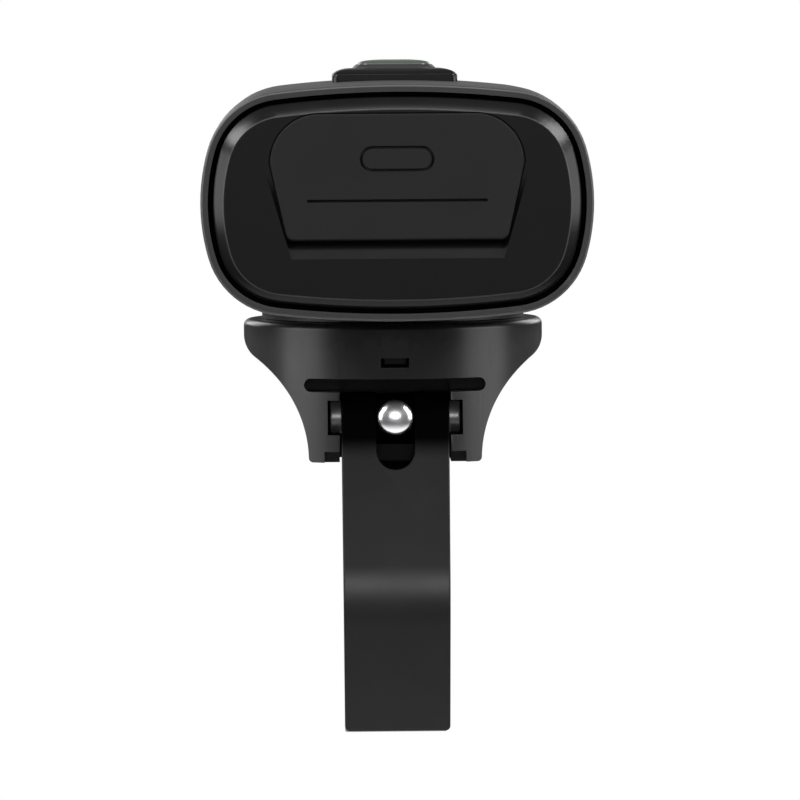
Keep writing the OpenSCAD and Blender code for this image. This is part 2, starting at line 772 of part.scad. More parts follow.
// Button on a flange that the surround's tube keeps in
module button_cap() {
    color("#343434") difference() {
        union() {
            pad(button_w, button_l, cap_r, [[0, flange_z], [0, trim_z + 0.1], [button_h, cap_z]]);
            prism(button_w, button_l, cap_r, air + 0.3, flange_z, flange_z + flange_t);
        }
        prism(button_w, button_l, cap_r, seat - lamp_in, cap_z - 0.8, cap_z + 1);
    }
}

// Light guide that shows the charge in the button's top
module indicator_lens() {
    low = cap_z - 0.8 + seat;
    color("#7f8f7a")
        pad(button_w - 2 * lamp_in, button_l - 2 * lamp_in, cap_r - lamp_in,
            [[0, low], [0, cap_z], [0.45, cap_z + lamp_h * 0.6], [1.6, cap_z + lamp_h]]);
}

// Foot under the light: a collar shaped to the body, and a boss with two lugs for the socket
module foot() {
    head = floor_z + 0.5;
    color("#1e1e1e") difference() {
        union() {
            translate([0, 0, top_z + foot_gap]) cylinder(r = foot_r, h = 6);
            translate([0, 0, head]) cylinder(r = boss_foot_r, h = top_z + 1 - head);
            for (s = [0, 180])
                rotate([0, 0, s - 34]) translate([0, 0, lug_top - lug_t]) rotate_extrude(angle = 68)
                    translate([boss_foot_r - 1, 0]) square([lug_r - boss_foot_r + 1, lug_t]);
        }
        translate([0, 0, -seat]) body_skin();
        for (x = [-1, 1], y = [-1, 1])
            translate([x * screw_at, y * screw_at, head]) {
                translate([0, 0, -1]) cylinder(r = 1 + seat, h = 20);
                translate([0, 0, -0.01]) cylinder(r1 = 2.1, r2 = 1 + seat, h = 1.2);
            }
    }
}

module foot_screws() {
    head = floor_z + 0.6;
    tip = top_z + foot_rise + wall + 0.1;
    color("#b8b8b8") for (x = [-1, 1], y = [-1, 1])
        translate([x * screw_at, y * screw_at, head]) difference() {
            union() {
                cylinder(r = 1, h = tip - head);
                cylinder(r1 = 1.95, r2 = 1, h = 1);
            }
            translate([0, 0, -0.1]) cylinder(r = 0.8, h = 0.8, $fn = 6);
        }
}

bracket();
socket_ring();
saddle_pad();
trunnion();
front_barrel();
draw_bolt();
lever();
band();
band_liner();
wear_plate();
housing();
front_bezel();
front_lens();
lens_seal();
reflector();
led_board();
led_emitters();
heat_sink();
battery_cells();
battery_tabs();
battery_holder();
control_board();
tact_switch();
usb_board();
usb_socket();
rear_cover();
rear_seal();
flap_anchor();
usb_flap();
button_bezel();
button_cap();
indicator_lens();
foot();
foot_screws();
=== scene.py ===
import json
from math import acos, asin, atan2, cos, pi, radians, sin, sqrt
import bmesh
import bpy
from mathutils import Matrix, Vector


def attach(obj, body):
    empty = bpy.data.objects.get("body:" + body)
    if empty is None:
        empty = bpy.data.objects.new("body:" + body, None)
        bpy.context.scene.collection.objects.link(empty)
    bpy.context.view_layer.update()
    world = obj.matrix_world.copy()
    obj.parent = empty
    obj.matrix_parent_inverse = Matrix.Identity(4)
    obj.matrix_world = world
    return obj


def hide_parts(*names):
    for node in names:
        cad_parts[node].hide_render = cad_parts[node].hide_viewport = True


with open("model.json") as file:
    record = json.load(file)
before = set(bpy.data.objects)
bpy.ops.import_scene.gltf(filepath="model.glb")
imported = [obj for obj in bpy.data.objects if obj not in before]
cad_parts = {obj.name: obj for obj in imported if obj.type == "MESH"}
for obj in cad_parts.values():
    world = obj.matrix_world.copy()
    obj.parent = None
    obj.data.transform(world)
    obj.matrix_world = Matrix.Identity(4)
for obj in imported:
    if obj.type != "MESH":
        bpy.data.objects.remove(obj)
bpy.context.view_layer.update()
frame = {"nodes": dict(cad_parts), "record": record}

mm = 0.001  # pieces are drawn in millimetres and kept in metres
scene = bpy.context.scene


# shader nodes
def newGroup(name, inputs, outputs):
    group = bpy.data.node_groups.new(name, "ShaderNodeTree")
    for label, value in inputs.items():
        socket = group.interface.new_socket(label, in_out="INPUT", socket_type="NodeSocketFloat")
        socket.default_value = value
    for label in outputs:
        group.interface.new_socket(label, in_out="OUTPUT", socket_type="NodeSocketFloat")
    return group, group.nodes.new("NodeGroupInput"), group.nodes.new("NodeGroupOutput")


def groupNode(tree, group, values):
    node = tree.nodes.new("ShaderNodeGroup")
    node.node_tree = group
    for label, value in values.items():
        node.inputs[label].default_value = value
    return node


def mathNode(tree, operation, *values):
    node = tree.nodes.new("ShaderNodeMath")
    node.operation = operation
    for socket, value in zip(node.inputs, values):
        if isinstance(value, (int, float)):
            socket.default_value = value
        else:
            tree.links.new(value, socket)
    return node.outputs[0]


def noiseNode(tree, vector, scale, detail, rough):
    node = tree.nodes.new("ShaderNodeTexNoise")
    node.inputs["Detail"].default_value = detail
    node.inputs["Roughness"].default_value = rough
    tree.links.new(vector, node.inputs["Vector"])
    tree.links.new(scale, node.inputs["Scale"])
    return node.outputs["Fac"]


def mixColour(tree, mask, first, second):
    node = tree.nodes.new("ShaderNodeMix")
    node.data_type = "RGBA"
    tree.links.new(mask, node.inputs[0])
    for socket, value in ((node.inputs[6], first), (node.inputs[7], second)):  # the two colour sockets
        if isinstance(value, tuple):
            socket.default_value = (*value, 1.0)
        else:
            tree.links.new(value, socket)
    return node.outputs[2]


def mapRange(tree, value, source, target=(0, 1), soft=True):
    node = tree.nodes.new("ShaderNodeMapRange")
    node.interpolation_type = "SMOOTHSTEP" if soft else "LINEAR"
    for label, number in zip(("From Min", "From Max", "To Min", "To Max"), (*source, *target)):
        node.inputs[label].default_value = number
    tree.links.new(value, node.inputs["Value"])
    return node.outputs[0]


def objectCoord(tree):
    return tree.nodes.new("ShaderNodeTexCoord").outputs["Object"]


def placeMask(tree, axis, low, high, middle=None):  # rises between two places in millimetres
    split = tree.nodes.new("ShaderNodeSeparateXYZ")
    tree.links.new(objectCoord(tree), split.inputs[0])
    place = split.outputs[axis]
    if middle is not None:  # the same on both sides of the middle
        place = mathNode(tree, "ABSOLUTE", mathNode(tree, "SUBTRACT", place, middle * mm))
    return mapRange(tree, place, (low * mm, high * mm))


# shared effects, with the detail and roughness of their noise
grainLook = {"scale": 2200.0, "cloud": 160.0, "fine": (4, 0.6), "slow": (3, 0.55)}
wearLook = {"reach": 0.53, "break": 900.0, "gain": 9.0, "noise": (4, 0.65)}


def makeGrain(look):  # fine moulded grain over slow cloudy patches
    inputs = {"Scale": look["scale"], "Cloud": look["cloud"]}
    group, into, out = newGroup("mouldGrain", inputs, ("Height", "Patch"))
    coord = objectCoord(group)
    for name, noise, result in (("Scale", "fine", "Height"), ("Cloud", "slow", "Patch")):
        group.links.new(noiseNode(group, coord, into.outputs[name], *look[noise]), out.inputs[result])
    return group


def makeWear(look):  # rubbed edges, broken up by noise
    group, into, out = newGroup("rubbedEdge", {"Reach": look["reach"], "Break": look["break"]}, ("Mask",))
    point = group.nodes.new("ShaderNodeNewGeometry").outputs["Pointiness"]
    sharp = mathNode(group, "SUBTRACT", point, into.outputs["Reach"])
    spread = mathNode(group, "MULTIPLY", sharp, look["gain"])
    noise = noiseNode(group, objectCoord(group), into.outputs["Break"], *look["noise"])
    clamp = group.nodes.new("ShaderNodeClamp")
    group.links.new(mathNode(group, "MULTIPLY", spread, noise), clamp.inputs["Value"])
    group.links.new(clamp.outputs[0], out.inputs["Mask"])
    return group


grainGroup = makeGrain(grainLook)
wearGroup = makeWear(wearLook)


def grey(value):  # a touch of blue keeps the black parts neutral
    return (value, value, value * 1.02)


# what a finish has where it gives no value of its own
plainLook = {"grain": grainLook["scale"], "cloud": grainLook["cloud"], "reach": wearLook["reach"],
             "patch": (0.25, 0.75), "bump": 0.1, "bumpDepth": 0.00003, "gloss": 0.5, "metal": 0.0,
             # shadeTone and shadeGloss are the tone and shine left under painted shade
             "shadeTone": grey(0.0005), "shadeGloss": 0.05, "coatRough": 0.08, "glassIor": 1.49}

# dark and light are the tones of the patches, worn is the tone of rubbed edges
finishes = {
    "bracket_plastic": {"dark": grey(0.006), "light": grey(0.0075), "worn": grey(0.02),
                        "rough": (0.28, 0.33), "gloss": 0.22},
    "lever_plastic": {"dark": grey(0.0065), "light": grey(0.0085), "worn": grey(0.03),
                      "rough": (0.3, 0.34), "gloss": 0.16,
                      "shade": ("Z", 16.1, 18.9)},  # painted shade: dark where the fork goes into the bracket
    "inner_plastic": {"dark": grey(0.008), "light": grey(0.012), "rough": (0.42, 0.5), "gloss": 0.2},
    "cover_plastic": {"dark": grey(0.006), "light": grey(0.0075), "rough": (0.19, 0.22), "gloss": 0.19, "bump": 0.04,
                      # painted highlight: a light line along the bevel's inner edge
                      "line": {"rise": (-48.299, -48.292), "fall": (-48.249, -48.209), "tone": grey(0.045),
                               "clear": (("X", 15.2, 15.6, 0.0), ("Z", 7.6, 8.0, 47.142))}},  # not round the flap
    "black_rubber": {"dark": grey(0.002), "light": grey(0.004), "rough": (0.7, 0.85), "gloss": 0.05, "bump": 0.2},
    "flap_rubber": {"dark": grey(0.0148), "light": grey(0.0172), "rough": (0.55, 0.65), "gloss": 0.1, "bump": 0.15},
    "button_rubber": {"dark": grey(0.02), "light": grey(0.027), "rough": (0.42, 0.52), "gloss": 0.3},
    "body_anodised": {"dark": grey(0.033), "light": grey(0.038), "worn": grey(0.06),
                      "rough": (0.38, 0.46), "gloss": 0.18, "bump": 0.12, "grain": 3200,
                      # painted highlight: a light line along the rim's outer edge
                      "line": {"rise": (-47.896, -47.886), "fall": (-47.8, -47.76), "tone": grey(0.085)}},
    "bare_aluminium": {"dark": grey(0.52), "light": grey(0.66), "rough": (0.28, 0.42), "metal": 1.0},
    "pin_steel": {"dark": grey(0.09), "light": grey(0.12), "worn": grey(0.2), "rough": (0.32, 0.38), "metal": 0.6,
                  "shade": ("X", 6.5, 6.2, 0.0)},  # painted shade darkens the middle; only the ends keep the steel's own tone
    "plain_steel": {"dark": grey(0.46), "light": grey(0.58), "rough": (0.25, 0.36), "metal": 1.0},
    "bolt_chrome": {"dark": grey(0.7), "light": grey(0.8), "rough": (0.22, 0.27), "metal": 1.0, "bump": 0.03},
    "clear_lens": {"dark": (0.94, 0.96, 0.97), "light": (0.98, 0.99, 1.0), "rough": (0.02, 0.04), "clear": 1.0,
                   "bump": 0.01},
    "reflector_mirror": {"dark": grey(0.82), "light": grey(0.9), "rough": (0.14, 0.2), "metal": 0.85, "bump": 0.02},
    "lamp_board": {"dark": (0.72, 0.72, 0.7), "light": (0.82, 0.82, 0.8), "rough": (0.4, 0.5)},
    "led_phosphor": {"dark": (0.78, 0.56, 0.1), "light": (0.88, 0.68, 0.16), "rough": (0.25, 0.35), "coat": 0.6},
    "cell_wrap": {"dark": (0.03, 0.11, 0.28), "light": (0.05, 0.15, 0.34), "rough": (0.25, 0.35), "coat": 0.4},
    "green_board": {"dark": (0.006, 0.075, 0.025), "light": (0.012, 0.11, 0.04), "rough": (0.3, 0.42), "coat": 0.3},
    "indicator": {"dark": (0.05, 0.06, 0.05), "light": (0.07, 0.08, 0.07), "rough": (0.22, 0.3), "gloss": 0.4},
}


def paintedHighlightMask(tree, line):  # painted highlight: a light line along an edge, between two depths
    band = mathNode(tree, "SUBTRACT", placeMask(tree, "Y", *line["rise"]), placeMask(tree, "Y", *line["fall"]))
    if "clear" in line:
        clear = mathNode(tree, "MAXIMUM", *(placeMask(tree, *limit) for limit in line["clear"]))
        band = mathNode(tree, "MULTIPLY", band, clear)
    return band


def finish(name, own):
    spec = {**plainLook, **own}
    mat = bpy.data.materials.new(name)
    mat.use_nodes = True
    tree = mat.node_tree
    shader = tree.nodes["Principled BSDF"]
    grain = groupNode(tree, grainGroup, {"Scale": spec["grain"], "Cloud": spec["cloud"]})
    patch = grain.outputs["Patch"]
    colour = mixColour(tree, patch, spec["dark"], spec["light"])
    if "worn" in spec:
        wear = groupNode(tree, wearGroup, {"Reach": spec["reach"]})
        colour = mixColour(tree, wear.outputs["Mask"], colour, spec["worn"])
    # painted highlight: a light line along an edge
    if "line" in spec:
        colour = mixColour(tree, paintedHighlightMask(tree, spec["line"]), colour, spec["line"]["tone"])
    gloss = spec["gloss"]
    shader.inputs["Specular IOR Level"].default_value = gloss
    if "shade" in spec:  # painted shade: a dark stretch with less shine
        mask = placeMask(tree, *spec["shade"])
        colour = mixColour(tree, mask, colour, spec["shadeTone"])
        dim = mapRange(tree, mask, (0, 1), (gloss, gloss * spec["shadeGloss"]), soft=False)
        tree.links.new(dim, shader.inputs["Specular IOR Level"])
    tree.links.new(colour, shader.inputs["Base Color"])
    tree.links.new(mapRange(tree, patch, spec["patch"], spec["rough"], soft=False), shader.inputs["Roughness"])
    bump = tree.nodes.new("ShaderNodeBump")
    bump.inputs["Strength"].default_value = spec["bump"]
    bump.inputs["Distance"].default_value = spec["bumpDepth"]
    tree.links.new(grain.outputs["Height"], bump.inputs["Height"])
    tree.links.new(bump.outputs[0], shader.inputs["Normal"])
    shader.inputs["Metallic"].default_value = spec["metal"]
    if "coat" in spec:
        shader.inputs["Coat Weight"].default_value = spec["coat"]
        shader.inputs["Coat Roughness"].default_value = spec["coatRough"]
    if "clear" in spec:
        shader.inputs["Transmission Weight"].default_value = spec["clear"]
        shader.inputs["IOR"].default_value = spec["glassIor"]
    return mat


looks = {slot: finish(slot.replace("_", ""), spec) for slot, spec in finishes.items()}
slotOf = {part["node"]: part["material_slot"] for part in frame["record"]["subparts"]}
bodyOf = {node: body for body, held in frame["record"]["behaviour"]["bodies"].items() for node in held}
for name, obj in frame["nodes"].items():
    obj.data.materials.clear()
    obj.data.materials.append(looks[slotOf[name]])
print("finishes", len(looks))


# drawing: an outline grows from one vertex, in millimetres
weld = {"ends": 0.002, "carved": 0.002, "near": 0.001, "spun": 0.0005}  # what counts as one point
outside = 1  # how far cutters start or end outside what they cut


def inDegrees(angle):
    return angle * 180 / pi


def vertsIn(geom):
    return [item for item in geom if isinstance(item, bmesh.types.BMVert)]


def lineTo(bm, vert, *places):
    for place in places:
        vert = bmesh.ops.extrude_vert_indiv(bm, verts=[vert])["verts"][0]
        vert.co = place
    return vert


def sweep(bm, vert, centre, axis, angle, steps):
    made = bmesh.ops.spin(bm, geom=[vert], cent=centre, axis=axis, angle=radians(angle), steps=steps)
    return vertsIn(made["geom_last"])[0]


def closeLine(bm, first, last):  # joins the two ends, which lie on each other or apart
    if (first.co - last.co).length < weld["ends"]:
        bmesh.ops.pointmerge(bm, verts=[first, last], merge_co=first.co)
    else:
        bm.edges.new((last, first))


def newEdges(bm, before):
    return [edge for edge in bm.edges if edge not in before]


def join(bm, loops, ends):  # skins the loops, as a closed ring or a solid with two flat ends
    for one, two in zip(loops, loops[1:]):
        bmesh.ops.bridge_loops(bm, edges=one + two)
    if ends == "ring":
        bmesh.ops.bridge_loops(bm, edges=loops[-1] + loops[0])
    if ends == "solid":
        for loop in (loops[0], loops[-1]):
            bmesh.ops.edgeloop_fill(bm, edges=loop)
    bmesh.ops.recalc_face_normals(bm, faces=bm.faces)


def prism(bm, edges, move):  # a flat outline, filled and pulled out along move
    face = bmesh.ops.edgeloop_fill(bm, edges=edges)["faces"]
    made = bmesh.ops.extrude_face_region(bm, geom=face, use_keep_orig=True)["geom"]
    bmesh.ops.translate(bm, verts=vertsIn(made), vec=move)
    bmesh.ops.recalc_face_normals(bm, faces=bm.faces)


def spinRound(bm, centre, axis, steps, gap):  # a full turn of everything drawn so far
    bmesh.ops.spin(bm, geom=bm.verts[:] + bm.edges[:], cent=centre, axis=axis, angle=2 * pi, steps=steps,
                   use_merge=True)
    bmesh.ops.remove_doubles(bm, verts=bm.verts, dist=gap)
    bmesh.ops.recalc_face_normals(bm, faces=bm.faces)


def turned(points, centre, axis, steps=64):  # a turned part: points run from its axis and back to it
    bm = bmesh.new()
    lineTo(bm, bm.verts.new(points[0]), *points[1:])
    spinRound(bm, centre, axis, steps, weld["spun"])
    return bm


def block(x0, x1, y0, y1, z0, z1):
    bm = bmesh.new()
    bmesh.ops.create_cube(bm, size=1)
    bmesh.ops.scale(bm, verts=bm.verts, vec=(x1 - x0, y1 - y0, z1 - z0))
    bmesh.ops.translate(bm, verts=bm.verts, vec=((x0 + x1) / 2, (y0 + y1) / 2, (z0 + z1) / 2))
    return bm


def rod(radius, start, end, steps=64):
    start, end = Vector(start), Vector(end)
    bm = bmesh.new()
    bmesh.ops.create_cone(bm, cap_ends=True, segments=steps, radius1=radius, radius2=radius,
                          depth=(end - start).length)
    turn = (end - start).to_track_quat("Z", "Y").to_matrix()
    bmesh.ops.rotate(bm, verts=bm.verts, cent=(0, 0, 0), matrix=turn)
    bmesh.ops.translate(bm, verts=bm.verts, vec=(start + end) / 2)
    return bm


def carve(bm, *tools, way="DIFFERENCE"):
    for tool in tools:
        pair = []
        for source in (bm, tool):
            mesh = bpy.data.meshes.new("carving")
            source.to_mesh(mesh)
            pair.append(bpy.data.objects.new("carving", mesh))
            scene.collection.objects.link(pair[-1])
        cut = pair[0].modifiers.new("cut", "BOOLEAN")
        cut.operation, cut.solver, cut.object = way, "EXACT", pair[1]
        shaped = pair[0].evaluated_get(bpy.context.evaluated_depsgraph_get()).to_mesh()
        bm.clear()
        bm.from_mesh(shaped)
        tool.free()
        for obj in pair:
            bpy.data.meshes.remove(obj.data)
    bmesh.ops.remove_doubles(bm, verts=bm.verts, dist=weld["carved"])
    bmesh.ops.dissolve_degenerate(bm, edges=bm.edges, dist=weld["near"])


def soften(bm, width, angle=40, steps=2, pick=None):  # rounds the edges sharper than an angle
    edges = [edge for edge in bm.edges if len(edge.link_faces) == 2 and edge.calc_face_angle(0) > radians(angle)]
    if pick:
        edges = [edge for edge in edges if pick(edge)]
    bmesh.ops.bevel(bm, geom=edges, offset=width, offset_type="OFFSET", segments=steps, profile=0.5,
                    affect="EDGES", clamp_overlap=True, material=-1)


def keepPiece(name, bm, node, smooth=32):
    bmesh.ops.scale(bm, verts=bm.verts, vec=(mm, mm, mm))
    mesh = bpy.data.meshes.new(name)
    bm.to_mesh(mesh)
    bm.free()
    mesh.shade_smooth()
    mesh.set_sharp_from_angle(angle=radians(smooth))
    mesh.materials.append(looks[slotOf[node]])
    obj = bpy.data.objects.new(name, mesh)
    scene.collection.objects.link(obj)
    even = obj.modifiers.new("evenNormals", "WEIGHTED_NORMAL")
    even.keep_sharp = True
    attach(obj, bodyOf[node])
    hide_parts(node)


# light body: every part of it follows one bowed outline
bodyForm = {"halfWidth": 22.1, "halfHeight": 13.65, "endHeight": 13.3, "crown": 118, "corner": 8.9, "cornerLoss": 4,
            "middle": 47.142, "back": -47.9, "front": 48.1, "steps": 12, "crownSteps": 24,
            "swellStart": 0.5, "swellLength": 13.5, "noseFall": 1.4, "buttonY": -24.0}


def bodyLoop(bm, y, inset, half):
    form = bodyForm
    before = set(bm.edges)
    wide, high = form["halfWidth"] - inset, half - inset
    crown, corner = form["crown"] - inset, form["corner"] - min(inset, form["cornerLoss"])
    low = high - crown  # height of the crown arc's centre
    side, top = wide - corner, crown - corner
    cz = (side * side - top * top + low * low) / (2 * low)
    cx = sqrt(side * side - cz * cz)
    sideTurn, crownTurn = inDegrees(atan2(cz, cx)), inDegrees(atan2(cz - low, cx))
    cornerTurn = crownTurn - sideTurn
    mid, few, many = form["middle"], form["steps"], form["crownSteps"]
    start = radians(sideTurn)
    first = tip = bm.verts.new((wide * cos(start), y, mid - wide * sin(start)))
    for way in (1, -1):  # one side and the crown, then the other side and the belly
        for x, z, turn, steps in ((0, 0, 2 * sideTurn, few), (way * cx, way * cz, cornerTurn, few),
                                  (0, way * low, 180 - 2 * crownTurn, many), (-way * cx, way * cz, cornerTurn, few)):
            tip = sweep(bm, tip, (x, y, mid + z), (0, -1, 0), turn, steps)
    closeLine(bm, first, tip)
    return newEdges(bm, before)


def bodyRings(bm, rings, half, ends):
    join(bm, [bodyLoop(bm, y, inset, half) for y, inset in rings], ends)


def heightAt(y):  # the body swells from its ends to its middle
    form = bodyForm
    grow = form["halfHeight"] - form["endHeight"]
    behind = min(1, max(0, (y - form["back"] - form["swellStart"]) / form["swellLength"]))
    ahead = min(1, max(0, y / form["front"]))
    return form["endHeight"] + grow * sin(behind * pi / 2) - grow * ahead ** form["noseFall"]


# lip and nose are steps from the body's two ends, behind and ahead are places between them
housingForm = {"rimInset": 0.85, "wall": 1.8, "seatY": -44.5, "rimEdge": (0.003, 0.02),
               "lip": ((0, 0.3), (0.03, 0.2), (0.1, 0.12), (0.22, 0.08), (0.5, 0.04)),
               "behind": (1.2, 3, 5, 8, 11, 14), "ahead": (-12, 0.1, 12, 24, 36, 44),
               "nose": ((-0.2, 0.02, 0.01), (0, 0.2, 0)), "mouthGrow": 0.25,
               "holeHalf": (5.72, 8.47), "crownZ": 57, "cutHalf": 12, "cutY": (-46, 4)}


def makeHousing():
    form = housingForm
    back, front, end = bodyForm["back"], bodyForm["front"], bodyForm["endHeight"]
    rim, wall, seat = form["rimInset"], form["wall"], form["seatY"]
    edgeY, edgeInset = form["rimEdge"]
    rings = [(seat, rim, end), (back + edgeY, rim, end), (back, rim - edgeInset, end)]
    rings += [(back + y, inset, end) for y, inset in form["lip"]]
    rings += [(y, 0, heightAt(y)) for y in (*(back + step for step in form["behind"]), *form["ahead"])]
    rings += [(front + y, inset, end + grow) for y, inset, grow in form["nose"]]
    rings += [(front, wall, end + form["mouthGrow"]), (seat, wall, bodyForm["halfHeight"])]
    bm = bmesh.new()
    join(bm, [bodyLoop(bm, *ring) for ring in rings], "ring")

    def crownFaces(half, nearY, farY):
        places = [(face, face.calc_center_median()) for face in bm.faces]
        return [face for face, mid in places if mid.z > form["crownZ"] and abs(mid.x) < half and nearY < mid.y < farY]

    # opening for the button, under its surround
    halfX, halfY = form["holeHalf"]
    y = bodyForm["buttonY"]
    for place, normal in (((halfX, y, 0), (1, 0, 0)), ((-halfX, y, 0), (1, 0, 0)),
                          ((0, y - halfY, 0), (0, 1, 0)), ((0, y + halfY, 0), (0, 1, 0))):
        crown = crownFaces(form["cutHalf"], *form["cutY"])
        edges = dict.fromkeys(edge for face in crown for edge in face.edges)
        verts = dict.fromkeys(vert for face in crown for vert in face.verts)
        bmesh.ops.bisect_plane(bm, geom=[*crown, *edges, *verts], dist=1e-5, plane_co=place, plane_no=normal)
    bmesh.ops.delete(bm, geom=crownFaces(halfX, y - halfY, y + halfY), context="FACES")
    bmesh.ops.bridge_loops(bm, edges=[edge for edge in bm.edges if edge.is_boundary])
    bmesh.ops.recalc_face_normals(bm, faces=bm.faces)
    keepPiece("bodyShell", bm, "housing")


makeHousing()

# the ring in front: steps after its shoulder, then its nose and lens seat before its front
bezelForm = {"halfHeight": 13.25, "spigot": 1.85, "back": 44.1, "shoulder": 48.3, "front": 60.1, "bore": (1.2, 3),
             "step": ((0, 0.3), (0.08, 0.1), (0.35, -0.04), (0.8, -0.1), (4, -0.1)),
             "nose": ((1.5, -0.1), (0.85, 0), (0.4, 0.22), (0.1, 0.6), (0, 1.0), (0, 2.3), (0.06, 2.46), (0.2, 2.55),
                      (1.6, 2.9), (1.6, 1.5), (5.6, 1.5), (5.6, 2.3))}


def makeBezel():
    form = bezelForm
    back, shoulder = form["back"], form["shoulder"]
    ledge, bore = form["bore"]
    rings = [(back, form["spigot"]), (shoulder, form["spigot"])]
    rings += [(shoulder + y, inset) for y, inset in form["step"]]
    rings += [(form["front"] - y, inset) for y, inset in form["nose"]]
    rings += [(shoulder + ledge, bore), (back, bore)]
    bm = bmesh.new()
    bodyRings(bm, rings, form["halfHeight"], "ring")
    keepPiece("lampBezel", bm, "front_bezel")


makeBezel()

# the bevel's brow and foot are pairs of depth and inset
coverForm = {"face": -48.3, "bevel": 1.2, "seat": -44.55, "inset": 1.4, "drop": 0.2,
             "brow": ((0, 0.1), (0.012, 0.035), (0.045, -0.035), (0.39, -0.57)),
             "foot": ((0.74, 0.06), (0.83, 0.01), (1.0, 0)),
             "bedGap": 0.15, "bedDepth": 1.55, "port": (9.6, 3.9, 48.964), "portCut": 6, "strapHalf": 5.05,
             "strapDepth": 2.55, "strapDrop": (2.05, 0.4), "edge": 0.1, "edgeDepth": (0.05, 1.3),
             "scoop": {"high": 50.938, "low": 40.742, "wide": 14.85, "slim": 11.9, "deepZ": 43.042, "depth": 1.2,
                       "proud": (0.1, 1)}}
flapForm = {"wide": 28.5, "lowWide": 25.0, "top": 57.142, "low": 43.042, "round": 5.5, "lowRound": 0.9, "lean": 10,
            "thick": 1.5, "edge": 0.18, "groove": (20.2, 0.34, 0.3), "grooveZ": 47.413, "mark": (8.4, 2.9, 52.1),
            "markLine": 0.35, "markDepth": 0.22, "plug": (7.7, 2.2), "plugSunk": 0.2, "plugLength": 1.4,
            "plugEdge": 0.25}


def flapLoop(bm, y, grow):
    form = flapForm
    before = set(bm.edges)
    topX, lowX = form["wide"] / 2 - form["round"], form["lowWide"] / 2 - form["lowRound"]
    high, low = form["top"] - form["round"], form["low"] + form["lowRound"]
    big, small = form["round"] + grow, form["lowRound"] + grow
    lean, turn = radians(form["lean"]), 90 - form["lean"]
    axis = (0, 1, 0)
    first = tip = bm.verts.new((topX, y, high + big))
    tip = sweep(bm, tip, (topX, y, high), axis, 90, 16)
    tip = lineTo(bm, tip, (lowX + small * cos(lean), y, low - small * sin(lean)))
    tip = sweep(bm, tip, (lowX, y, low), axis, turn, 8)
    tip = lineTo(bm, tip, (-lowX, y, low - small))
    tip = sweep(bm, tip, (-lowX, y, low), axis, turn, 8)
    tip = lineTo(bm, tip, (-topX - big, y, high))
    tip = sweep(bm, tip, (-topX, y, high), axis, 90, 16)
    closeLine(bm, first, tip)
    return newEdges(bm, before)


def oblong(y, wide, high, z, length):  # a bar with round ends, along Y
    bm = bmesh.new()
    half, r = (wide - high) / 2, high / 2
    first = bm.verts.new((half, y, z + r))
    tip = sweep(bm, first, (half, y, z), (0, 1, 0), 180, 16)
    tip = lineTo(bm, tip, (-half, y, z - r))
    tip = sweep(bm, tip, (-half, y, z), (0, 1, 0), 180, 16)
    closeLine(bm, first, tip)
    prism(bm, bm.edges[:], (0, length, 0))
    return bm


def makeScoop(face, scoop):  # the dip that a fingernail goes into, below the flap
    bm = bmesh.new()
    for x, z in ((scoop["wide"], scoop["high"]), (scoop["slim"], scoop["low"])):
        for proud in scoop["proud"]:
            for side in (-1, 1):
                bm.verts.new((side * x, face - proud, z))
    part = (scoop["deepZ"] - scoop["low"]) / (scoop["high"] - scoop["low"])
    reach = scoop["slim"] + (scoop["wide"] - scoop["slim"]) * part
    for side in (-1, 1):
        bm.verts.new((side * reach, face + scoop["depth"], scoop["deepZ"]))
    bmesh.ops.convex_hull(bm, input=bm.verts)
    return bm


def makeCover():
    form = coverForm
    face, inset = form["face"], form["inset"]
    rings = [(face + y, inset + form["bevel"] + step) for y, step in form["brow"]]
    rings += [(face + y, inset + step) for y, step in form["foot"]] + [(form["seat"], inset)]
    bm = bmesh.new()
    loops = [bodyLoop(bm, y, step, bodyForm["endHeight"]) for y, step in rings]
    for loop in loops[:len(form["brow"])]:  # the lower bevel is the narrowest
        verts = list(dict.fromkeys(vert for edge in loop for vert in edge.verts))
        bmesh.ops.translate(bm, verts=verts, vec=(0, 0, -form["drop"]))
    join(bm, loops, "solid")
    bed = bmesh.new()
    prism(bed, flapLoop(bed, face - outside, form["bedGap"]), (0, outside + form["bedDepth"], 0))
    port = oblong(face - outside, *form["port"], form["portCut"])
    far, near = form["strapDrop"]
    strap = block(-form["strapHalf"], form["strapHalf"], face, face + form["strapDepth"],
                  flapForm["top"] - far, flapForm["top"] - near)
    carve(bm, bed, makeScoop(face, form["scoop"]), port, strap)
    shallow, deep = form["edgeDepth"]

    def atFace(edge):
        depths = [vert.co.y - face for vert in edge.verts]
        return max(depths) < deep and min(depths) < shallow

    soften(bm, form["edge"], angle=25, pick=atFace)
    keepPiece("backCover", bm, "rear_cover")


makeCover()

sealForm = {"crest": ((1.55, 0.9), (1.4, 1.0), (1.4, 1.25), (1.55, 1.35)), "inset": (1.35, 0.9)}


def makeSeal():  # black groove between the rim and the cover
    rings = [(bodyForm["back"] + y, inset) for y, inset in sealForm["crest"]]
    rings += [(coverForm["seat"], inset) for inset in sealForm["inset"]]
    bm = bmesh.new()
    bodyRings(bm, rings, bodyForm["endHeight"], "ring")
    keepPiece("coverSeal", bm, "rear_seal")


makeSeal()


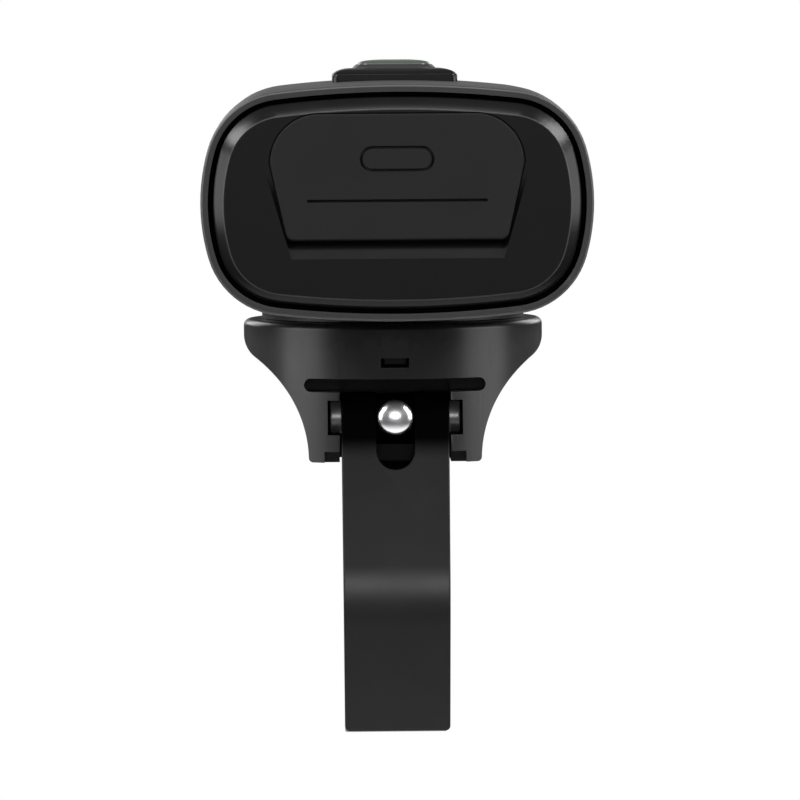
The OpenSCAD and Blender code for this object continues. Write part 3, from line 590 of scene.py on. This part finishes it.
def makeFlap():
    form = flapForm
    face, inner = coverForm["face"], coverForm["face"] + form["thick"]
    bm = bmesh.new()
    prism(bm, flapLoop(bm, face, 0), (0, form["thick"], 0))
    soften(bm, form["edge"], steps=3, pick=lambda edge: all(vert.co.y < face + 0.01 for vert in edge.verts))
    wide, high, deep = form["groove"]
    z = form["grooveZ"]
    groove = block(-wide / 2, wide / 2, face - outside, face + deep, z - high / 2, z + high / 2)
    wide, high, z = form["mark"]  # plain oblong, the outline of the socket behind it
    line = 2 * form["markLine"]
    mark = oblong(face - outside, wide, high, z, outside + form["markDepth"])
    carve(mark, oblong(face - 2 * outside, wide - line, high - line, z, 4 * outside))
    plug = oblong(inner - form["plugSunk"], *form["plug"], coverForm["port"][2], form["plugLength"])
    soften(plug, form["plugEdge"], steps=3, pick=lambda edge: all(vert.co.y > inner + 0.5 for vert in edge.verts))
    carve(bm, groove, mark)
    carve(bm, plug, way="UNION")
    keepPiece("portFlap", bm, "usb_flap")


makeFlap()
print("body, cover and flap")


# button: rounded oblong tiers, each given as pairs of inset and height
buttonForm = {"crown": 60.792, "trim": (14.3, 20.0, 0.8), "trimTop": 62.142, "cap": (9.5, 15.0, 2.0),
              "capTop": 62.592, "lensTop": 63.142, "lensInset": 3.2, "tubeLow": 58.792, "flangeLow": 57.792,
              "gap": 0.4, "tube": 0.5, "sunk": 0.4, "flange": (-0.7, 0.7), "leastRound": 0.25,
              "shoulder": ((0, 0.58), (0.05, 0.68), (0.13, 0.76), (0.22, 0.82), (0.35, 0.91), (0.6, 1.06),
                           (0.95, 1.19), (1.3, 1.28), (1.6, 1.33)),  # above the body's crown
              "mouth": ((-0.14, 0), (-0.04, -0.03), (0, -0.12)),  # from the surround's opening and top
              "capFoot": ((0, 0.02), (0.04, 0.1), (0.12, 0.18)),  # above the surround
              "capEdge": ((0.37, -0.06), (0.43, -0.01), (0.47, 0), (0.55, 0), (0.55, -0.8)),
              "lens": ((0.6, -0.75), (0.6, -0.02), (0.64, 0.1), (0.75, 0.2), (0.95, 0.31), (1.3, 0.4),
                       (1.8, 0.47), (2.5, 0.52))}  # from the cap's top


def tierLoop(bm, size, inset, z):
    before = set(bm.edges)
    wide, long = size[0] / 2 - inset, size[1] / 2 - inset
    r = max(buttonForm["leastRound"], size[2] - inset)
    x, y, mid = wide - r, long - r, bodyForm["buttonY"]
    first = tip = bm.verts.new((wide, mid - y, z))
    for cx, cy in ((x, y), (-x, y), (-x, -y), (x, -y)):
        alongSide = abs(tip.co.x) > x + weld["near"]  # or else along an end
        tip = lineTo(bm, tip, (tip.co.x, mid + cy, z) if alongSide else (cx, tip.co.y, z))
        tip = sweep(bm, tip, (cx, mid + cy, z), (0, 0, 1), 90, 8)
    closeLine(bm, first, tip)
    return newEdges(bm, before)


def tiers(name, node, size, steps, ends):
    bm = bmesh.new()
    join(bm, [tierLoop(bm, size, inset, z) for inset, z in steps], ends)
    keepPiece(name, bm, node)


def makeButton():
    form = buttonForm
    hole = (form["trim"][0] - form["cap"][0]) / 2 - form["gap"]  # inset from the surround to its opening
    tube, low = hole - form["tube"], form["crown"] - form["sunk"]
    steps = [(0, low)] + [(inset, form["crown"] + rise) for inset, rise in form["shoulder"]]
    steps += [(hole + inset, form["trimTop"] + rise) for inset, rise in form["mouth"]]
    steps += [(hole, form["tubeLow"]), (tube, form["tubeLow"]), (tube, low)]
    tiers("buttonSurround", "button_bezel", form["trim"], steps, "ring")
    flange, thick = form["flange"]
    foot = form["flangeLow"]
    steps = [(flange, foot), (flange, foot + thick), (0, foot + thick)]
    steps += [(inset, form["trimTop"] + rise) for inset, rise in form["capFoot"]]
    steps += [(inset, form["capTop"] + rise) for inset, rise in form["capEdge"]]
    tiers("buttonCap", "button_cap", form["cap"], steps, "solid")
    steps = [(inset, form["capTop"] + rise) for inset, rise in form["lens"]]
    steps.append((form["lensInset"], form["lensTop"]))
    tiers("chargeLamp", "indicator_lens", form["cap"], steps, "solid")


makeButton()
print("button")


pinAt = {"back": -13.4, "front": 14.2, "z": 21.1}  # the lever's and the band's axes, which the bolt joins

# bracket: a round top on a flared neck, cut out for the clamp
bracketForm = {"disc": 17.9, "top": 32.192, "rimZ": 30.392, "rimRound": 3.0, "flare": 14.3, "flareStart": 178,
               "flareRise": 0.2, "neckHalf": 10.2, "neckZ": 15.8, "neckRound": 0.5, "edge": 0.8, "bar": 16.95,
               "channel": 6.55, "webHalf": 6.1, "webBack": -6.4, "webFront": 10.25, "webRoom": 2,
               "pocket": (7.95, 2.05), "eyeRoom": 3.95, "slot": (21.4, 1.6, 24.1),
               "slotEnd": 9.9, "notch": {"start": 0.9, "wide": 1.8, "behindPin": 1.4, "low": 1, "high": 1.3},
               "floor": 26.95, "socket": 14.6, "window": (3.3, 1.1), "sill": 0.1, "boltHole": 1.8, "soft": 0.14}


def makeBlank(form):  # round blank
    bm = bmesh.new()
    disc, low, high = form["disc"], form["neckZ"] - outside, form["top"] - form["edge"]
    tip = lineTo(bm, bm.verts.new((0, 0, low)), (disc, 0, low), (disc, 0, high))
    tip = sweep(bm, tip, (disc - form["edge"], 0, high), (0, -1, 0), 90, 8)
    lineTo(bm, tip, (0, 0, form["top"]))
    spinRound(bm, (0, 0, 0), (0, 0, 1), 160, weld["near"])
    return bm


def makeFlare(form):  # flared view from behind, one half drawn and mirrored
    bm = bmesh.new()
    half, neckZ, r = form["neckHalf"], form["neckZ"], form["neckRound"]
    farX, farZ, y = form["disc"] + outside, form["top"] + outside, -form["disc"] - outside
    flare, start, axis = form["flare"], radians(form["flareStart"]), (0, -1, 0)
    hollowX, hollowZ = half + flare, neckZ + form["flareRise"]
    bulgeX, bulgeZ = form["disc"] - form["rimRound"], form["rimZ"]
    meet = inDegrees(atan2(bulgeZ - hollowZ, bulgeX - hollowX))
    tip = lineTo(bm, bm.verts.new((0, y, neckZ)), (half - r, y, neckZ))
    tip = sweep(bm, tip, (half - r, y, neckZ + r), axis, 90, 8)
    tip = lineTo(bm, tip, (hollowX + flare * cos(start), y, hollowZ + flare * sin(start)))
    tip = sweep(bm, tip, (hollowX, y, hollowZ), axis, meet - form["flareStart"], 28)
    tip = sweep(bm, tip, (bulgeX, y, bulgeZ), axis, 180 - meet, 16)
    lineTo(bm, tip, (farX, y, bulgeZ), (farX, y, farZ), (0, y, farZ))
    bmesh.ops.mirror(bm, geom=bm.verts[:] + bm.edges[:], axis="X", merge_dist=weld["near"])
    prism(bm, bm.edges[:], (0, 2 * farX, 0))
    return bm


def makeBracket():
    form = bracketForm
    bm = makeBlank(form)
    carve(bm, makeFlare(form), way="INTERSECT")
    web, room, neckZ = form["webHalf"], form["webRoom"], form["neckZ"]
    carve(bm, block(-web, web, form["webBack"], form["webFront"], neckZ - room, neckZ + room), way="UNION")
    half, far, z = form["channel"], form["disc"] + outside, pinAt["z"]
    wide, high, low = form["slot"]
    under = neckZ - room - outside
    tools = [rod(form["bar"], (-30, 0, 0), (30, 0, 0), 192),
             block(-half, half, -far, form["webBack"], under, low + high),
             block(-half, half, form["webFront"], far, under, z + form["eyeRoom"])]
    reach, r = form["pocket"]
    for y, edge in ((pinAt["back"], -far), (pinAt["front"], far)):
        tools += [rod(r, (-reach, y, z), (reach, y, z)),
                  block(-reach, reach, min(y, edge), max(y, edge), z - r, z + r)]
    tools.append(oblong(-far, wide, high, low + high / 2, far - form["slotEnd"]))
    notch = form["notch"]
    for way in (-1, 1):
        near, out = sorted((way * half * notch["start"], way * (half + notch["wide"])))
        tools.append(block(near, out, -far, pinAt["back"] - notch["behindPin"],
                           neckZ - notch["low"], neckZ + notch["high"]))
    wide, high = form["window"]
    sill, hole = form["floor"] + form["sill"], form["boltHole"]
    tools += [rod(form["socket"], (0, 0, form["floor"]), (0, 0, 50), 160),
              block(-wide / 2, wide / 2, -far, far, sill, sill + high),
              rod(hole, (0, form["webBack"] - outside, z), (0, form["webFront"] + outside, z))]
    carve(bm, *tools)
    soften(bm, form["soft"], angle=35)
    keepPiece("clampBracket", bm, "bracket")


makeBracket()
print("bracket")


# lever: one side profile, pulled out, tapered and slotted
leverForm = {"mid": 19.7, "thick": 2.2, "bend": 16.0, "lean": 11.0, "drop": 15.75, "cam": 2.9, "throw": 1.05,
             "top": 12.8, "tip": 12.4, "tipRound": 0.6, "spare": 0.5, "planY": 60, "planTop": 10, "forkHalf": 2.25,
             "slotDrop": 6.85, "slotReach": 12, "hole": 2.05, "edge": 0.22, "slotEdge": 0.16, "leastEdge": 0.02}


def leverPlan(form):  # taper and rounded tip corners, seen from behind
    bm = bmesh.new()
    y, axis = -form["planY"], (0, 1, 0)
    half, r, top = form["tip"] / 2, form["tipRound"], pinAt["z"] + form["planTop"]
    low = -form["drop"]
    first = tip = bm.verts.new((form["top"] / 2, y, top))
    tip = lineTo(bm, tip, (half, y, low + r))
    tip = sweep(bm, tip, (half - r, y, low + r), axis, 90, 8)
    tip = lineTo(bm, tip, (r - half, y, low))
    tip = sweep(bm, tip, (r - half, y, low + r), axis, 90, 8)
    tip = lineTo(bm, tip, (-form["top"] / 2, y, top))
    closeLine(bm, first, tip)
    prism(bm, bm.edges[:], (0, form["planY"], 0))
    return bm


def leverFork(form):  # slot with a round foot, drawn about the pin
    bm = bmesh.new()
    half, reach = form["forkHalf"], form["slotReach"]
    foot = half - form["slotDrop"]
    first = bm.verts.new((half, -reach, reach))
    tip = lineTo(bm, first, (half, -reach, foot))
    tip = sweep(bm, tip, (0, -reach, foot), (0, 1, 0), 180, 32)
    tip = lineTo(bm, tip, (-half, -reach, reach))
    closeLine(bm, first, tip)
    prism(bm, bm.edges[:], (0, 2 * reach, 0))
    return bm


def makeLever():
    form = leverForm
    py, pz = pinAt["back"], pinAt["z"]
    mid, bend, cam, skin = form["mid"], form["bend"], form["cam"], form["thick"] / 2
    shift = cam - skin  # the outer face runs straight into the cam
    tilt = inDegrees(atan2(pz, -py)) - inDegrees(acos((mid - shift) / sqrt(py * py + pz * pz)))
    bendTurn = tilt + form["lean"]
    upper, lower = radians(tilt), radians(form["lean"])
    out, down = Vector((0, -cos(upper), sin(upper))), Vector((0, -sin(upper), -cos(upper)))
    low = Vector((0, -cos(lower), -sin(lower)))
    turn = radians((tilt - form["lean"]) / 2)
    bendAt = (mid - bend) / cos(radians(bendTurn / 2)) * Vector((0, -cos(turn), sin(turn)))
    pin = Vector((0, py, pz))

    def foot(side):  # where one face ends, at the lever's tip
        length = (form["drop"] - (mid + side) * sin(lower)) / cos(lower)
        return (mid + side) * low + length * Vector((0, sin(lower), -cos(lower)))

    x = Vector((-form["top"] / 2 - form["spare"], 0, 0))
    bm = bmesh.new()
    first = tip = bm.verts.new(x + pin + cam * out)
    tip = lineTo(bm, tip, x + bendAt + (bend + skin) * out)
    tip = sweep(bm, tip, x + bendAt, (1, 0, 0), bendTurn, 24)
    tip = lineTo(bm, tip, x + foot(skin), x + foot(-skin), x + bendAt + (bend - skin) * low)
    tip = sweep(bm, tip, x + bendAt, (-1, 0, 0), bendTurn, 24)
    neck = sqrt(cam ** 2 - (shift - skin) ** 2)
    tip = lineTo(bm, tip, x + pin + neck * down + (shift - skin) * out)
    startAngle = atan2(tip.co.z - pz, tip.co.y - py)
    endAngle = atan2(first.co.z - pz, first.co.y - py) + 2 * pi
    tip = sweep(bm, tip, x + pin, (1, 0, 0), inDegrees((endAngle - startAngle) % (2 * pi)), 48)
    closeLine(bm, first, tip)
    for vert in bm.verts:  # the cam rises towards the bar
        arm = Vector((vert.co.y - py, vert.co.z - pz))
        if arm.length < cam + 0.01 and arm.x > 0:
            grown = arm * (1 + form["throw"] / cam * (arm.x / arm.length) ** 2)
            vert.co.y, vert.co.z = py + grown.x, pz + grown.y
    prism(bm, bm.edges[:], (form["top"] + 2 * form["spare"], 0, 0))
    carve(bm, leverPlan(form), way="INTERSECT")
    soften(bm, form["edge"], angle=35, steps=3)
    fork = leverFork(form)
    bmesh.ops.rotate(fork, verts=fork.verts, cent=(0, 0, 0), matrix=Matrix.Rotation(-upper, 3, "X"))
    bmesh.ops.translate(fork, verts=fork.verts, vec=pin)
    carve(bm, fork, rod(form["hole"], (-20, py, pz), (20, py, pz)))

    def inFork(edge):
        inside = all(abs(vert.co.x) < form["forkHalf"] + 0.01 for vert in edge.verts)
        return inside and (edge.verts[0].co - edge.verts[1].co).length > form["leastEdge"]

    soften(bm, form["slotEdge"], pick=inFork)
    keepPiece("quickLever", bm, "lever")


makeLever()
print("lever")

bandForm = {"ringIn": 16.55, "ringOut": 17.75, "wide": 12.2, "eye": 3.55, "tab": (-8.7, -7.5), "tabTop": 23.6,
            "hole": 2.05, "forkHalf": 2.25, "slotDrop": 6.85, "slotY": (9, 23), "slotTop": 10, "boltRoom": 1.9,
            "edge": 0.18}


def makeBand():
    form = bandForm
    ey, ez = pinAt["front"], pinAt["z"]
    backY, frontY = form["tab"]
    inner, outer, eye, tabTop = form["ringIn"], form["ringOut"], form["eye"], form["tabTop"]
    opened, shut = inDegrees(acos(backY / outer)), inDegrees(acos(frontY / inner))
    turn = inDegrees(asin((inner - ey) / eye))
    x = -form["wide"] / 2
    bm = bmesh.new()
    first = tip = bm.verts.new((x, frontY, tabTop))
    tip = lineTo(bm, tip, (x, backY, tabTop), (x, backY, outer * sin(radians(opened))))
    tip = sweep(bm, tip, (x, 0, 0), (1, 0, 0), 360 - opened, 96)
    tip = lineTo(bm, tip, (x, ey + eye, ez))
    tip = sweep(bm, tip, (x, ey, ez), (1, 0, 0), 270 + turn, 48)
    tip = lineTo(bm, tip, (x, inner, 0))
    tip = sweep(bm, tip, (x, 0, 0), (-1, 0, 0), 360 - shut, 96)
    closeLine(bm, first, tip)
    prism(bm, bm.edges[:], (form["wide"], 0, 0))
    soften(bm, form["edge"])
    half, room, top = form["forkHalf"], form["boltRoom"], ez + form["slotTop"]
    foot = ez + half - form["slotDrop"]
    nearY, farY = form["slotY"]
    behind, ahead = backY - outside, frontY + outside
    carve(bm, rod(form["hole"], (-20, ey, ez), (20, ey, ez)), block(-half, half, nearY, farY, foot, top),
          rod(half, (0, nearY + outside, foot), (0, farY, foot)), block(-room, room, behind, ahead, ez, top),
          rod(room, (0, behind, ez), (0, ahead, ez)))
    keepPiece("clampBand", bm, "band")


makeBand()

# the bolt's head is drawn as pairs of radius and depth
boltForm = {"flange": -16.2, "shank": 1.5, "end": 18.55, "chamfer": 0.2, "key": 1.05, "keyDepth": 1.6,
            "head": ((0, -1.1), (0.3, -1.09), (0.62, -1.055), (0.92, -0.995), (1.2, -0.915), (1.36, -0.86),
                     (1.5, -0.8), (1.66, -0.72), (1.82, -0.61), (1.95, -0.48), (2.05, -0.32), (2.1, -0.12), (2.1, 0))}


def makeBolt():
    form = boltForm
    y, z, end, shank, chamfer = form["flange"], pinAt["z"], form["end"], form["shank"], form["chamfer"]
    points = [(0, y + depth, z + radius) for radius, depth in form["head"]]
    points += [(0, y, z + shank), (0, end - chamfer, z + shank), (0, end, z + shank - chamfer), (0, end, z)]
    bm = turned(points, (0, 0, z), (0, 1, 0))
    carve(bm, rod(form["key"], (0, end - form["keyDepth"], z), (0, end + outside, z), 6))
    keepPiece("drawBolt", bm, "draw_bolt")


makeBolt()

pinForm = {"radius": 2.0, "half": 7.65, "boss": 2.75, "bossHalf": 2.1, "bossEdge": 0.1, "chamfer": 0.25,
           "soft": 0.07, "backHole": 1.6, "frontHole": 1.55}


def makePin(name, node, y, hole):
    form = pinForm
    r, half, edge, soft, z = form["radius"], form["half"], form["chamfer"], form["soft"], pinAt["z"]
    boss, bossHalf, bossEdge = form["boss"], form["bossHalf"], form["bossEdge"]
    profile = [(0, half), (r - edge, half), (r - soft, half - soft), (r, half - edge), (r, bossHalf),
               (boss - bossEdge, bossHalf), (boss, bossHalf - bossEdge)]
    points = [(x, y, z + radius) for radius, x in profile]
    points += [(-x, y, z + radius) for radius, x in reversed(profile)]
    bm = turned(points, (0, y, z), (1, 0, 0))
    carve(bm, rod(hole, (0, y - 10, z), (0, y + 10, z)))
    keepPiece(name, bm, node)


makePin("leverPin", "trunnion", pinAt["back"], pinForm["backHole"])
makePin("bandPin", "front_barrel", pinAt["front"], pinForm["frontHole"])
print("clamp hardware")


# lamp: lens, gasket, twin cups and their light sources
glassForm = {"half": 13.25, "back": 55.7, "front": 57.9, "rise": 0.5, "edge": ((0, 1.8), (0.2, 1.6)),
             "crown": ((0, 2.8), (0.12, 3.4), (0.45, 4.6), (0.75, 6), (0.95, 7.4))}  # shares of the rise, and insets
gasketForm = {"depth": (57.95, 58.45), "inset": (1.7, 2.8), "edge": 0.1}


def makeGlass():
    form = glassForm
    rings = [(form["back"] + y, inset) for y, inset in form["edge"]]
    rings += [(form["front"] - y, inset) for y, inset in reversed(form["edge"])]
    rings += [(form["front"] + part * form["rise"], inset) for part, inset in form["crown"]]
    bm = bmesh.new()
    bodyRings(bm, rings, form["half"], "solid")
    keepPiece("lampGlass", bm, "front_lens")


def makeGasket():
    near, far = gasketForm["depth"]
    outer, inner = gasketForm["inset"]
    edge = gasketForm["edge"]
    rings = ((near, outer), (far, outer), (far, inner - edge), (far - edge, inner), (near + edge, inner),
             (near, inner - edge))
    bm = bmesh.new()
    bodyRings(bm, rings, glassForm["half"], "ring")
    keepPiece("lensGasket", bm, "lens_seal")


makeGlass()
makeGasket()

cupForm = {"x": 9.8, "mouth": 8.9, "throat": 3.2, "back": 43.7, "front": 54.8, "skin": 0.7, "steps": 12,
           "throatDrop": 0.3, "plate": ((54.6, 1.6), (55.5, 1.6), (55.6, 1.7)), "smooth": 40}


def cup(side, grow, front):  # a spun bowl, open towards the lens
    form = cupForm
    x, z, back, steps = side * form["x"], bodyForm["middle"], form["back"], form["steps"]
    deep, flare = form["front"] - back, form["mouth"] - form["throat"]
    curve = [(form["throat"] + grow + flare * sqrt(k / steps), back + deep * k / steps) for k in range(steps + 1)]
    points = [(x, back, z)] + [(x, y, z + r) for r, y in curve] + [(x, front, z + curve[-1][0]), (x, front, z)]
    return turned(points, (x, 0, z), (0, 1, 0), 80)


def makeReflector():
    form = cupForm
    bm = bmesh.new()
    bodyRings(bm, form["plate"], glassForm["half"], "solid")
    carve(bm, *[cup(side, form["skin"], form["front"]) for side in (-1, 1)], way="UNION")
    hollows = [cup(side, 0, form["plate"][-1][0] + outside) for side in (-1, 1)]
    for tool in hollows:
        throat = [vert for vert in tool.verts if vert.co.y < form["back"] + 0.01]
        bmesh.ops.translate(tool, verts=throat, vec=(0, -form["throatDrop"], 0))
    carve(bm, *hollows)
    keepPiece("twinReflector", bm, "reflector", form["smooth"])


makeReflector()

ledForm = {"front": 43.3, "half": 1.75, "base": (0.05, 0.8), "edge": 0.12, "dome": 1.4, "domeSunk": 0.5,
           "domeStart": 0.8, "domeRise": 0.5, "domeAngles": (0, 0.3, 0.6, 0.9, 1.2, 1.4)}


def makeLeds():
    form = ledForm
    z, y, half, r = bodyForm["middle"], form["front"], form["half"], form["dome"]
    low, high = form["base"]
    sunk, start, rise = y + form["domeSunk"], y + form["domeStart"], form["domeRise"]
    bm = bmesh.new()
    for x in (-cupForm["x"], cupForm["x"]):
        base = block(x - half, x + half, y + low, y + high, z - half, z + half)
        soften(base, form["edge"])
        points = [(x, sunk, z), (x, sunk, z + r)]
        points += [(x, start + rise * sin(angle), z + r * cos(angle)) for angle in form["domeAngles"]]
        points.append((x, start + rise, z))
        for source in (base, turned(points, (x, 0, z), (0, 1, 0), 48)):
            mesh = bpy.data.meshes.new("led")
            source.to_mesh(mesh)
            source.free()
            bm.from_mesh(mesh)
            bpy.data.meshes.remove(mesh)
    keepPiece("lightSources", bm, "led_emitters")


makeLeds()
print("lamp")


# parts whose solids are right: a merged copy with softened, smooth-shaded edges
copyForm = {"foot": ("lightFoot", 0.12), "socket_ring": ("socketLiner", 0.08), "saddle_pad": ("barPad", 0.15),
            "band_liner": ("bandLiner", 0.12), "foot_screws": ("footScrews", 0.05), "wear_plate": ("wearPlate", 0.05)}
flatAngle = 0.3  # faces closer than this in degrees become one

for node, (name, edge) in copyForm.items():
    bm = bmesh.new()
    bm.from_mesh(frame["nodes"][node].data)
    bmesh.ops.scale(bm, verts=bm.verts, vec=(1000, 1000, 1000))
    bmesh.ops.remove_doubles(bm, verts=bm.verts, dist=weld["near"])
    bmesh.ops.dissolve_limit(bm, angle_limit=radians(flatAngle), verts=bm.verts, edges=bm.edges)
    soften(bm, edge)
    keepPiece(name, bm, node)
print("copies")


# floor, studio and lamps
floorLook = {"z": -0.05, "size": 4.0, "tone": (0.85, 0.85, 0.85), "rough": 0.9, "glow": 0.25, "reach": (0.08, 0.17),
             "gloss": 0.12}


def seenRays(tree, gloss):  # rays that meet the white background, reflections at part strength
    path = tree.nodes.new("ShaderNodeLightPath")
    seen = mathNode(tree, "MAXIMUM", path.outputs["Is Camera Ray"], path.outputs["Is Transmission Ray"])
    return mathNode(tree, "MAXIMUM", seen, mathNode(tree, "MULTIPLY", path.outputs["Is Glossy Ray"], gloss))


def paleFloor(look):  # shadows show near the part, and plain white lies beyond
    mat = bpy.data.materials.new("paleFloor")
    mat.use_nodes = True
    tree = mat.node_tree
    shader = tree.nodes["Principled BSDF"]
    length = tree.nodes.new("ShaderNodeVectorMath")
    length.operation = "LENGTH"
    tree.links.new(objectCoord(tree), length.inputs[0])
    far = mapRange(tree, length.outputs["Value"], look["reach"])
    tree.links.new(mixColour(tree, far, look["tone"], (0.0, 0.0, 0.0)), shader.inputs["Base Color"])
    shader.inputs["Roughness"].default_value = look["rough"]
    shader.inputs["Specular IOR Level"].default_value = 0.0
    shader.inputs["Emission Color"].default_value = (1, 1, 1, 1)
    spread = mathNode(tree, "ADD", mathNode(tree, "MULTIPLY", far, 1 - look["glow"]), look["glow"])
    glow = mathNode(tree, "MULTIPLY", seenRays(tree, look["gloss"]), spread)
    tree.links.new(glow, shader.inputs["Emission Strength"])
    return mat


bm = bmesh.new()
bmesh.ops.create_grid(bm, x_segments=8, y_segments=8, size=floorLook["size"])
bmesh.ops.translate(bm, verts=bm.verts, vec=(0, 0, floorLook["z"]))
floorMesh = bpy.data.meshes.new("floor")
bm.to_mesh(floorMesh)
bm.free()
floor = bpy.data.objects.new("floor", floorMesh)
scene.collection.objects.link(floor)
floorMesh.materials.append(paleFloor(floorLook))

# frontGloss and backGloss: where a bright patch starts and is full, and its strength in reflections
studioLook = {"fill": 0.1, "white": 1.0, "frontGloss": (0.93, 0.99, 0.7), "backGloss": (0.9, 0.99, 0.4),
              "sideGloss": 0.04}


def makeStudio(look):
    world = bpy.data.worlds.new("studio")
    scene.world = world
    world.use_nodes = True
    tree = world.node_tree
    fill, white = tree.nodes["Background"], tree.nodes.new("ShaderNodeBackground")
    for node, strength in ((fill, look["fill"]), (white, look["white"])):
        node.inputs["Color"].default_value = (1, 1, 1, 1)
        node.inputs["Strength"].default_value = strength
    split = tree.nodes.new("ShaderNodeSeparateXYZ")
    tree.links.new(tree.nodes.new("ShaderNodeTexCoord").outputs["Generated"], split.inputs[0])

    def patch(value, low, high, peak):  # one soft bright patch of the studio
        return mapRange(tree, value, (low, high), (look["sideGloss"], peak))

    ahead = split.outputs["Y"]
    front = patch(mathNode(tree, "MULTIPLY", ahead, -1.0), *look["frontGloss"])
    behind = patch(ahead, *look["backGloss"])
    mix = tree.nodes.new("ShaderNodeMixShader")
    tree.links.new(seenRays(tree, mathNode(tree, "MAXIMUM", front, behind)), mix.inputs[0])
    tree.links.new(fill.outputs[0], mix.inputs[1])
    tree.links.new(white.outputs[0], mix.inputs[2])
    tree.links.new(mix.outputs[0], tree.nodes["World Output"].inputs["Surface"])


makeStudio(studioLook)

lamps = {
    "keyLeft": {"place": (-0.64, -0.43, 0.6), "aim": (0, 0, 0.03), "size": (0.3, 0.42), "power": 8.4},
    "keyRight": {"place": (0.64, -0.43, 0.6), "aim": (0, 0, 0.03), "size": (0.3, 0.42), "power": 8.4},
    "leftBox": {"place": (-0.75, -0.21, 0.12), "aim": (0, 0, 0.04), "size": (0.52, 0.34), "power": 3.2},
    "rightBox": {"place": (0.75, -0.21, 0.12), "aim": (0, 0, 0.04), "size": (0.52, 0.34), "power": 3.2},
    "topBox": {"place": (0, -0.42, 0.9), "aim": (0, 0, 0.04), "size": (0.5, 0.16), "power": 1.6},
    "noseLeft": {"place": (-0.55, 0.85, 0.4), "aim": (0, 0.05, 0.045), "size": (0.5, 0.5), "power": 3.0},
    "noseRight": {"place": (0.55, 0.85, 0.4), "aim": (0, 0.05, 0.045), "size": (0.5, 0.5), "power": 3.0},
    "clampBox": {"place": (0, -0.95, 0.118), "aim": (0, 0, 0.03), "size": (0.4, 0.06), "power": 2.8,
                 "only": ("quickLever", "drawBolt", "leverPin")},  # picks out the lever's bend and the metal
}
for name, lamp in lamps.items():
    data = bpy.data.lights.new(name, "AREA")
    data.shape = "RECTANGLE"
    data.size, data.size_y = lamp["size"]
    data.energy = lamp["power"]
    obj = bpy.data.objects.new(name, data)
    scene.collection.objects.link(obj)
    obj.location = lamp["place"]
    obj.rotation_euler = (Vector(lamp["aim"]) - Vector(lamp["place"])).to_track_quat("-Z", "Y").to_euler()
    if "only" in lamp:
        lit = bpy.data.collections.new(name)
        for piece in lamp["only"]:
            lit.objects.link(bpy.data.objects[piece])
        obj.light_linking.receiver_collection = lit

# camera, straight behind the light and a little above it
shot = {"target": (0.55, -17.4, 23.23), "elevation": 3.4, "yaw": -0.8, "roll": 0.42, "distance": 700, "lens": 268.5,
        "sensor": 36, "clip": (0.05, 20)}
camData = bpy.data.cameras.new("shot")
camera = bpy.data.objects.new("shot", camData)
scene.collection.objects.link(camera)
scene.camera = camera
camData.lens, camData.sensor_width = shot["lens"], shot["sensor"]
camData.clip_start, camData.clip_end = shot["clip"]
rise, yaw = radians(shot["elevation"]), radians(shot["yaw"])
back = Vector((sin(yaw) * cos(rise), -cos(yaw) * cos(rise), sin(rise)))
camera.location = (Vector(shot["target"]) + back * shot["distance"]) * mm
turn = (-back).to_track_quat("-Z", "Y")
camera.rotation_euler = (turn.to_matrix() @ Matrix.Rotation(-radians(shot["roll"]), 3, "Z")).to_euler()
scene.view_settings.view_transform = "Standard"
print("stage and camera")
